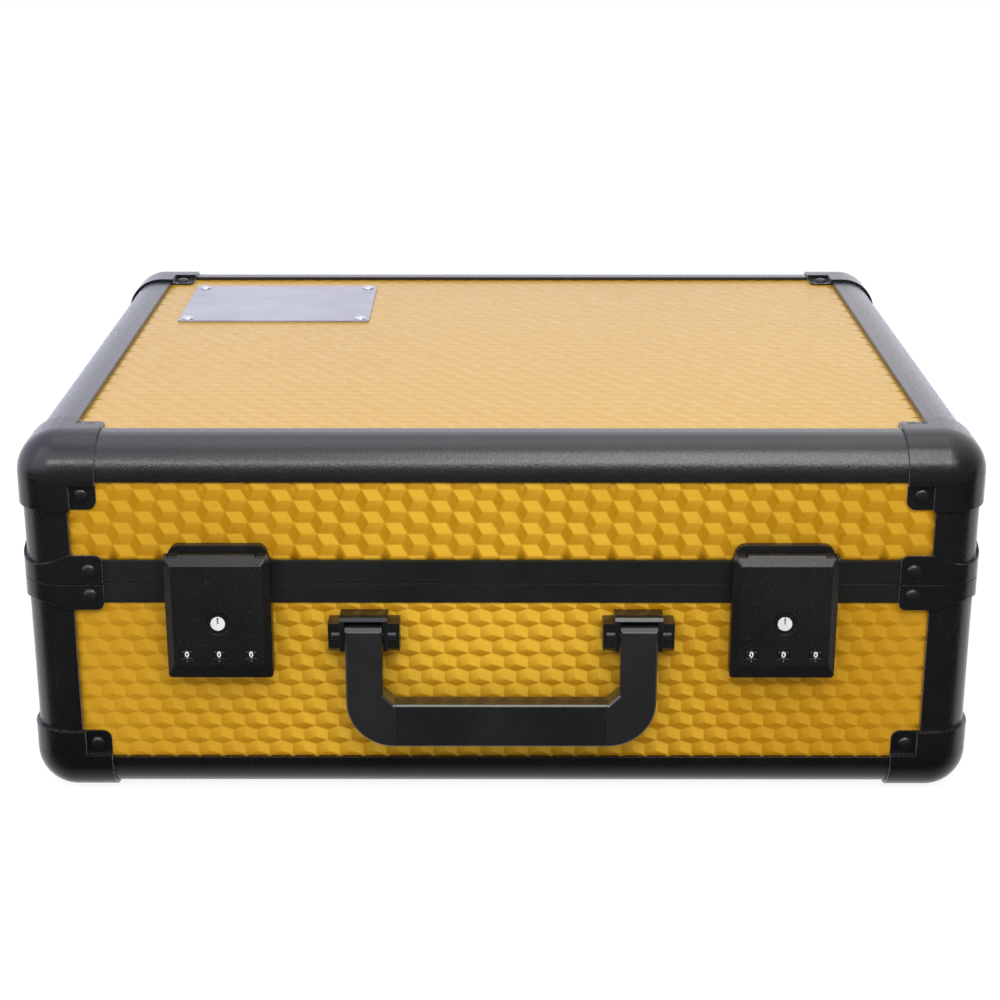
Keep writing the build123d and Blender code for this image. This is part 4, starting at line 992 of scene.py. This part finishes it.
def lid_pad():
    """The pad in the lid, one block stepped in beside the stays."""
    bm = bmesh.new()
    outline = [
        (-PAD_X, PAD_FRONT), (PAD_X, PAD_FRONT), (PAD_X, NOTCH_Y), (NARROW_X, NOTCH_Y),
        (NARROW_X, PAD_REAR), (-NARROW_X, PAD_REAR), (-NARROW_X, NOTCH_Y), (-PAD_X, NOTCH_Y),
    ]
    past = NARROW_X + LID_PAD_ROUND
    xs = steps(-PAD_X, PAD_X, LID_PAD_ROUND, LID_PAD_PITCH) + [-NARROW_X, NARROW_X, -past, past]
    ys = steps(PAD_FRONT, PAD_REAR, LID_PAD_ROUND, LID_PAD_PITCH) + [NOTCH_Y, NOTCH_Y - LID_PAD_ROUND]
    xs = sorted({round(x, 3) for x in xs})
    ys = sorted({round(y, 3) for y in ys})
    made = {}

    def inside(x, y):
        return abs(x) <= NARROW_X + 1e-6 or y <= NOTCH_Y + 1e-6

    def edge_distance(x, y):
        """How far a point is inside the outline."""
        best = 1e9
        for (x0, y0), (x1, y1) in zip(outline, outline[1:] + outline[:1]):
            dx, dy = x1 - x0, y1 - y0
            t = max(0.0, min(1.0, ((x - x0) * dx + (y - y0) * dy) / (dx * dx + dy * dy)))
            best = min(best, math.hypot(x - x0 - t * dx, y - y0 - t * dy))
        return best

    def vert(x, y, top):
        key = (x, y, top)
        if key not in made:
            d = min(edge_distance(x, y), LID_PAD_ROUND)
            fall = LID_PAD_ROUND - math.sqrt(max(0.0, LID_PAD_ROUND ** 2 - (LID_PAD_ROUND - d) ** 2))
            wave = CUT_DEPTH * (1 + noise.noise(Vector((x * 0.03, y * 0.03, 5.0 if top else 9.0))))
            crown = CROWN * (1 - (1 - (x / PAD_X) ** 2) * (1 - ((y - LID_PAD_MIDDLE_Y) / LID_PAD_HALF_Y) ** 2))
            z = LID_PAD_TOP - fall - 0.4 * wave if top else LID_PAD_LOW + fall + wave + crown
            made[key] = bm.verts.new((x, y, z))
        return made[key]

    cells = set()
    for i in range(len(xs) - 1):
        for j in range(len(ys) - 1):
            if inside((xs[i] + xs[i + 1]) / 2, (ys[j] + ys[j + 1]) / 2):
                cells.add((i, j))
    for i, j in cells:
        x0, x1, y0, y1 = xs[i], xs[i + 1], ys[j], ys[j + 1]
        for top in (True, False):
            bm.faces.new([vert(x0, y0, top), vert(x1, y0, top), vert(x1, y1, top), vert(x0, y1, top)])
        for di, dj, a, b in (
            (-1, 0, (x0, y0), (x0, y1)), (1, 0, (x1, y0), (x1, y1)),
            (0, -1, (x0, y0), (x1, y0)), (0, 1, (x0, y1), (x1, y1)),
        ):
            if (i + di, j + dj) not in cells:
                bm.faces.new([vert(*a, True), vert(*b, True), vert(*b, False), vert(*a, False)])
    obj = piece("foam_lid", bm, "foam", "lid", replaces=("lid_foam_pad",))


lid_pad()
BORDER_Z = (114.9, 155.7)
foam_piece("foam_border_front", "lid", "lid_foam_border", [(WIDE, (PAD_FRONT, -152.0), BORDER_Z)],
           9.0, (0.5, 0.6, 0.5), 21.0)
foam_piece("foam_border_rear", "lid", "lid_foam_border", [(NARROW, (157.6, PAD_REAR), BORDER_Z)],
           9.0, (0.5, 0.6, 0.5), 22.0)
for label, sign in (("left", -1), ("right", 1)):
    foam_piece(f"foam_border_{label}", "lid", "lid_foam_border",
               side_blocks(sign, 198.3, (-151.7, 157.3), BORDER_Z), 9.0, (0.6, 0.5, 0.5), 24.0 + sign)
